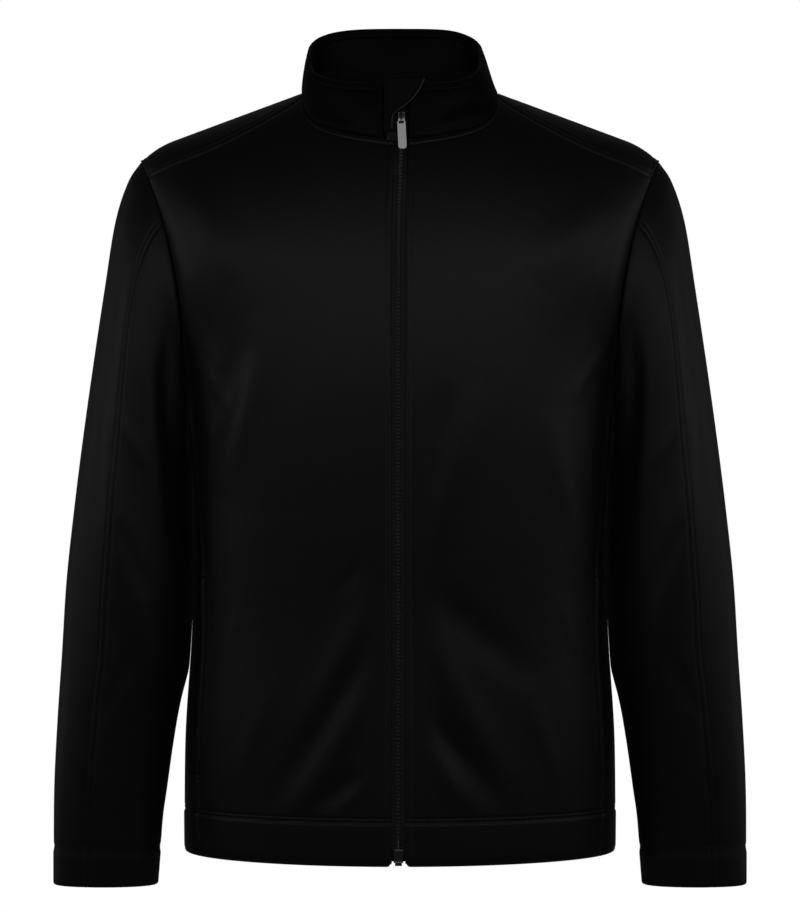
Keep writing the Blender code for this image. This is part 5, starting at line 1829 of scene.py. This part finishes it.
@dataclass
class Slider:
    """The slider with its bar, the wire link round the bar and the pull tab on the link.

    Sizes are in the slider's own frame: its middle on the cloth's face, leaning with it.
    """

    face: FrontFace
    zip_line: ZipLine
    finishes: Finishes
    z: float = -29.5
    long: float = 10.0
    half_top: float = 4.1
    half_low: float = 3.3
    front: float = 1.5
    bar_half: float = 2.5
    wire: float = 0.8
    stand: float = 2.7
    link_middle: float = 1.65
    link_thick: float = 1.5
    link_drop: float = 7.6
    tab_wide: float = 7.7
    tab_long: float = 27.6
    tab_thick: float = 1.5
    tab_rim: float = 1.1
    slot_wide: float = 5.0
    slot_high: float = 2.3
    tab_lean: float = 2.6

    @property
    def place(self) -> Matrix:
        """The slider's frame in the row's, in millimetres."""
        normal = self.face.normal(np.array(self.z))
        lean = math.atan2(normal[2], -normal[1])
        middle = self.face.at(float(self.zip_line.x(np.array(self.z))), self.z)
        return Matrix.Translation(Vector(middle)) @ Matrix.Rotation(-lean, 4, "X")

    @property
    def link_axis(self) -> Vector:
        """The middle of the slider's bar, in the slider's frame."""
        return Vector((0.0, -self.front - self.stand, 0.5 * self.long - 2.6))

    @property
    def tab_axis(self) -> Vector:
        """The middle of the tab's top rim, in the slider's frame."""
        return self.link_axis - Vector((0.0, 0.0, self.link_drop))

    def finished(self, name: str, builder: bmesh.types.BMesh,
                 material: bpy.types.Material) -> bpy.types.Object:
        """An object from a bmesh in the slider's frame."""
        bmesh.ops.recalc_face_normals(builder, faces=builder.faces[:])
        builder.transform(Matrix.Scale(MM, 4) @ self.place)
        return bare_object(name, finished_mesh(name, builder), material, 50.0)

    def body(self) -> None:
        """The cast body: a rounded block, wider at the top, with a round bar on two posts."""
        builder = bmesh.new()
        bmesh.ops.create_cube(builder, size=1.0)
        for vertex in builder.verts:
            half = self.half_top if vertex.co.z > 0.0 else self.half_low
            vertex.co = Vector((2.0 * half * vertex.co.x, -self.front if vertex.co.y < 0.0 else 1.9,
                                self.long * vertex.co.z))
        soften(builder, 0.8)
        axis = self.link_axis
        for side in (-1, 1):
            post = Matrix.Translation((side * self.bar_half, 0.5 * (axis.y - self.front + 0.5), axis.z))
            post = post @ Matrix.Rotation(math.radians(90.0), 4, "X")
            bmesh.ops.create_cone(builder, cap_ends=True, segments=14, radius1=self.wire,
                                  radius2=0.85 * self.wire, depth=self.stand + 0.9, matrix=post)
        bar = Matrix.Translation((0.0, axis.y, axis.z)) @ Matrix.Rotation(math.radians(90.0), 4, "Y")
        bmesh.ops.create_cone(builder, cap_ends=True, segments=14, radius1=0.56, radius2=0.56,
                              depth=2.0 * self.bar_half + 0.8, matrix=bar)
        for side in (-1, 1):
            corner = Matrix.Translation((side * self.bar_half, axis.y, axis.z)) @ Matrix.Scale(0.82, 4)
            bmesh.ops.create_icosphere(builder, subdivisions=2, radius=0.9, matrix=corner)
        piece = self.finished("zip_slider_casting", builder, self.finishes.enamel)
        settle(piece, "jacket", ("zip_slider",))

    def link(self) -> None:
        """The link: a long loop of round wire over the slider's bar and the tab's rim."""
        builder = bmesh.new()
        bmesh.ops.create_circle(builder, segments=12, radius=0.5 * self.link_thick,
                                matrix=Matrix.Translation((0.0, self.link_middle, 0.0)))
        bmesh.ops.spin(builder, geom=builder.edges[:], cent=(0.0, 0.0, 0.0), axis=(1.0, 0.0, 0.0),
                       angle=math.tau, steps=32, use_merge=True)
        bmesh.ops.remove_doubles(builder, verts=builder.verts[:], dist=0.001)
        for vertex in builder.verts:
            if vertex.co.z < 0.0:
                vertex.co.z -= self.link_drop
        builder.transform(Matrix.Translation(self.link_axis))
        piece = self.finished("pull_link_wire", builder, self.finishes.enamel)
        settle(piece, "link", ("pull_link",))

    def outline(self, half: float, top: float, bottom: float, corner: float, steps: int) -> list[Vector]:
        """A rounded rectangle in the XZ plane.

        Args:
            half: Half its width.
            top: Its top.
            bottom: Its bottom.
            corner: The radius of its corners.
            steps: How many steps each corner has.

        Returns:
            Its points, all round.
        """
        centres = ((half - corner, top - corner, 0.0), (corner - half, top - corner, 90.0),
                   (corner - half, bottom + corner, 180.0), (half - corner, bottom + corner, 270.0))
        points = []
        for x, z, start in centres:
            for step in range(steps + 1):
                turn = math.radians(start + 90.0 * step / steps)
                points.append(Vector((x + corner * math.cos(turn), 0.0, z + corner * math.sin(turn))))
        return points

    def tab(self) -> None:
        """The pull tab: a rounded plate with a slot for the link."""
        top, bottom = 0.5 * self.tab_rim, 0.5 * self.tab_rim - self.tab_long
        slot_top = -0.5 * self.tab_rim
        rings = [
            self.outline(0.5 * self.tab_wide, top, bottom, 0.36 * self.tab_wide, 8),
            self.outline(0.5 * self.slot_wide, slot_top, slot_top - self.slot_high, 0.9, 4),
        ]
        curve = bpy.data.curves.new("tab_outline", "CURVE")
        curve.dimensions, curve.fill_mode = "2D", "BOTH"
        curve.extrude, curve.bevel_depth, curve.bevel_resolution = 0.5 * self.tab_thick - 0.3, 0.3, 3
        curve.offset = -0.3
        for ring in rings:
            spline = curve.splines.new("POLY")
            spline.points.add(len(ring) - 1)
            for point, at in zip(spline.points, ring):
                point.co = (at.x, at.z, 0.0, 1.0)
            spline.use_cyclic_u = True
        shape = bpy.data.objects.new("tab_outline", curve)
        bpy.context.scene.collection.objects.link(shape)
        bpy.context.view_layer.update()
        solid = shape.evaluated_get(bpy.context.evaluated_depsgraph_get())
        mesh = bpy.data.meshes.new_from_object(solid)
        bpy.data.objects.remove(shape, do_unlink=True)
        builder = bmesh.new()
        builder.from_mesh(mesh)
        bmesh.ops.remove_doubles(builder, verts=builder.verts[:], dist=0.001)
        lean = Matrix.Rotation(math.radians(-self.tab_lean), 4, "Y")
        upright = Matrix.Rotation(math.radians(90.0), 4, "X")
        builder.transform(Matrix.Translation(self.tab_axis) @ lean @ upright)
        piece = self.finished("pull_tab_moulding", builder, self.finishes.tab)
        settle(piece, "tab", ("pull_tab",))

    def build(self) -> None:
        """Makes the slider, its link and its tab."""
        self.body()
        self.link()
        self.tab()


@dataclass(frozen=True)
class SoftLight:
    """A rectangular soft light: its place and size in metres, its power and the point it faces."""

    name: str
    place: tuple[float, float, float]
    size: tuple[float, float]
    watts: float
    aim: tuple[float, float, float] = (0.0, 0.0, -0.22)


# The front lights stand close, at chest height, so that the chest is lit more than the hem
SOFT_LIGHTS = (
    SoftLight("front_left", (-1.0, -1.15, 0.04), (0.9, 0.42), 1.2),
    SoftLight("front_middle", (0.0, -1.35, 0.17), (1.5, 0.30), 2.6),
    SoftLight("front_right", (1.02, -1.12, 0.06), (0.9, 0.42), 1.5),
    SoftLight("side_left", (-1.65, -0.40, -0.02), (0.6, 0.7), 2.1),
    SoftLight("side_right", (1.65, -0.40, -0.02), (0.6, 0.7), 2.1),
    SoftLight("rim_left", (-2.2, 0.9, -0.1), (0.6, 1.8), 1.5, (0.0, 0.0, -0.35)),
    SoftLight("rim_right", (2.2, 0.9, -0.1), (0.6, 1.8), 1.5, (0.0, 0.0, -0.35)),
    SoftLight("top_back", (0.0, 1.6, 1.6), (1.6, 0.8), 0.3, (0.0, 0.0, -0.35)),
)


@dataclass
class Studio:
    """The pale floor, the soft lights and the camera."""

    distance: float = 3.2
    camera_z: float = -0.344
    field_high: float = 0.8664
    floor_z: float = -1.6
    room: float = 0.034

    def world(self) -> None:
        """A dim room with a white backdrop behind the camera's view."""
        world = bpy.data.worlds.new("studio")
        bpy.context.scene.world = world
        world.use_nodes = True
        tree = world.node_tree
        tree.nodes.clear()
        path = add_node(tree, "ShaderNodeLightPath")
        plain = {"Color": linear("#ffffff")}
        dim = add_node(tree, "ShaderNodeBackground", plain | {"Strength": self.room})
        white = add_node(tree, "ShaderNodeBackground", plain | {"Strength": 1.0})
        seen = path.outputs["Is Camera Ray"]
        mixed = add_node(tree, "ShaderNodeMixShader", links={0: seen, 1: dim.outputs[0], 2: white.outputs[0]})
        add_node(tree, "ShaderNodeOutputWorld", links={0: mixed.outputs[0]})

    def floor(self) -> None:
        """A plain pale floor."""
        builder = bmesh.new()
        bmesh.ops.create_grid(builder, x_segments=1, y_segments=1, size=1.6,
                              matrix=Matrix.Translation((0.0, 0.0, self.floor_z)))
        pale = PlainFinish("painted_studio_floor", "#e8e8e8", 0.8, specular=0.2).material()
        bare_object("floor", finished_mesh("floor", builder), pale)

    def softbox(self, light: SoftLight) -> None:
        """Puts a soft light in its place."""
        lamp = bpy.data.lights.new(light.name, "AREA")
        lamp.shape = "RECTANGLE"
        lamp.size, lamp.size_y = light.size
        lamp.energy = light.watts
        made = bpy.data.objects.new(light.name, lamp)
        made.location = light.place
        way = Vector(light.aim) - Vector(light.place)
        made.rotation_euler = way.to_track_quat("-Z", "Y").to_euler()
        bpy.context.scene.collection.objects.link(made)

    def camera(self) -> None:
        """The camera, level, straight in front."""
        lens = bpy.data.cameras.new("camera")
        lens.sensor_fit = "VERTICAL"
        lens.sensor_height = 36.0
        lens.lens = 36.0 * self.distance / self.field_high
        made = bpy.data.objects.new("camera", lens)
        made.location = (0.0, -self.distance, self.camera_z)
        made.rotation_euler = (math.radians(90.0), 0.0, 0.0)
        bpy.context.scene.collection.objects.link(made)
        bpy.context.scene.camera = made

    def build(self) -> None:
        """Sets up the room, the lights and the camera."""
        self.world()
        self.floor()
        for light in SOFT_LIGHTS:
            self.softbox(light)
        self.camera()
        bpy.context.scene.view_settings.view_transform = "Standard"


def main() -> None:
    """Builds the jacket's pieces in order, then the studio."""
    body = BodyForm()
    zip_line = ZipLine()
    collar = CollarForm(body, zip_line)
    face = FrontFace(body, collar)
    finishes = Finishes.make()
    sewing = Sewing(finishes)
    Torso(body, zip_line, finishes, sewing).build()
    Sleeves(SleeveForm(body), finishes, sewing).build()
    Collar(collar, finishes, sewing).build()
    ZipGuard(face, finishes, sewing).build()
    PocketFacings(body, finishes).build()
    Zip(face, zip_line, finishes, sewing).build()
    Slider(face, zip_line, finishes).build()
    Studio().build()


if __name__ == "__main__":
    logging.basicConfig(level=logging.INFO, format="%(relativeCreated)6.0f ms %(message)s")
    main()
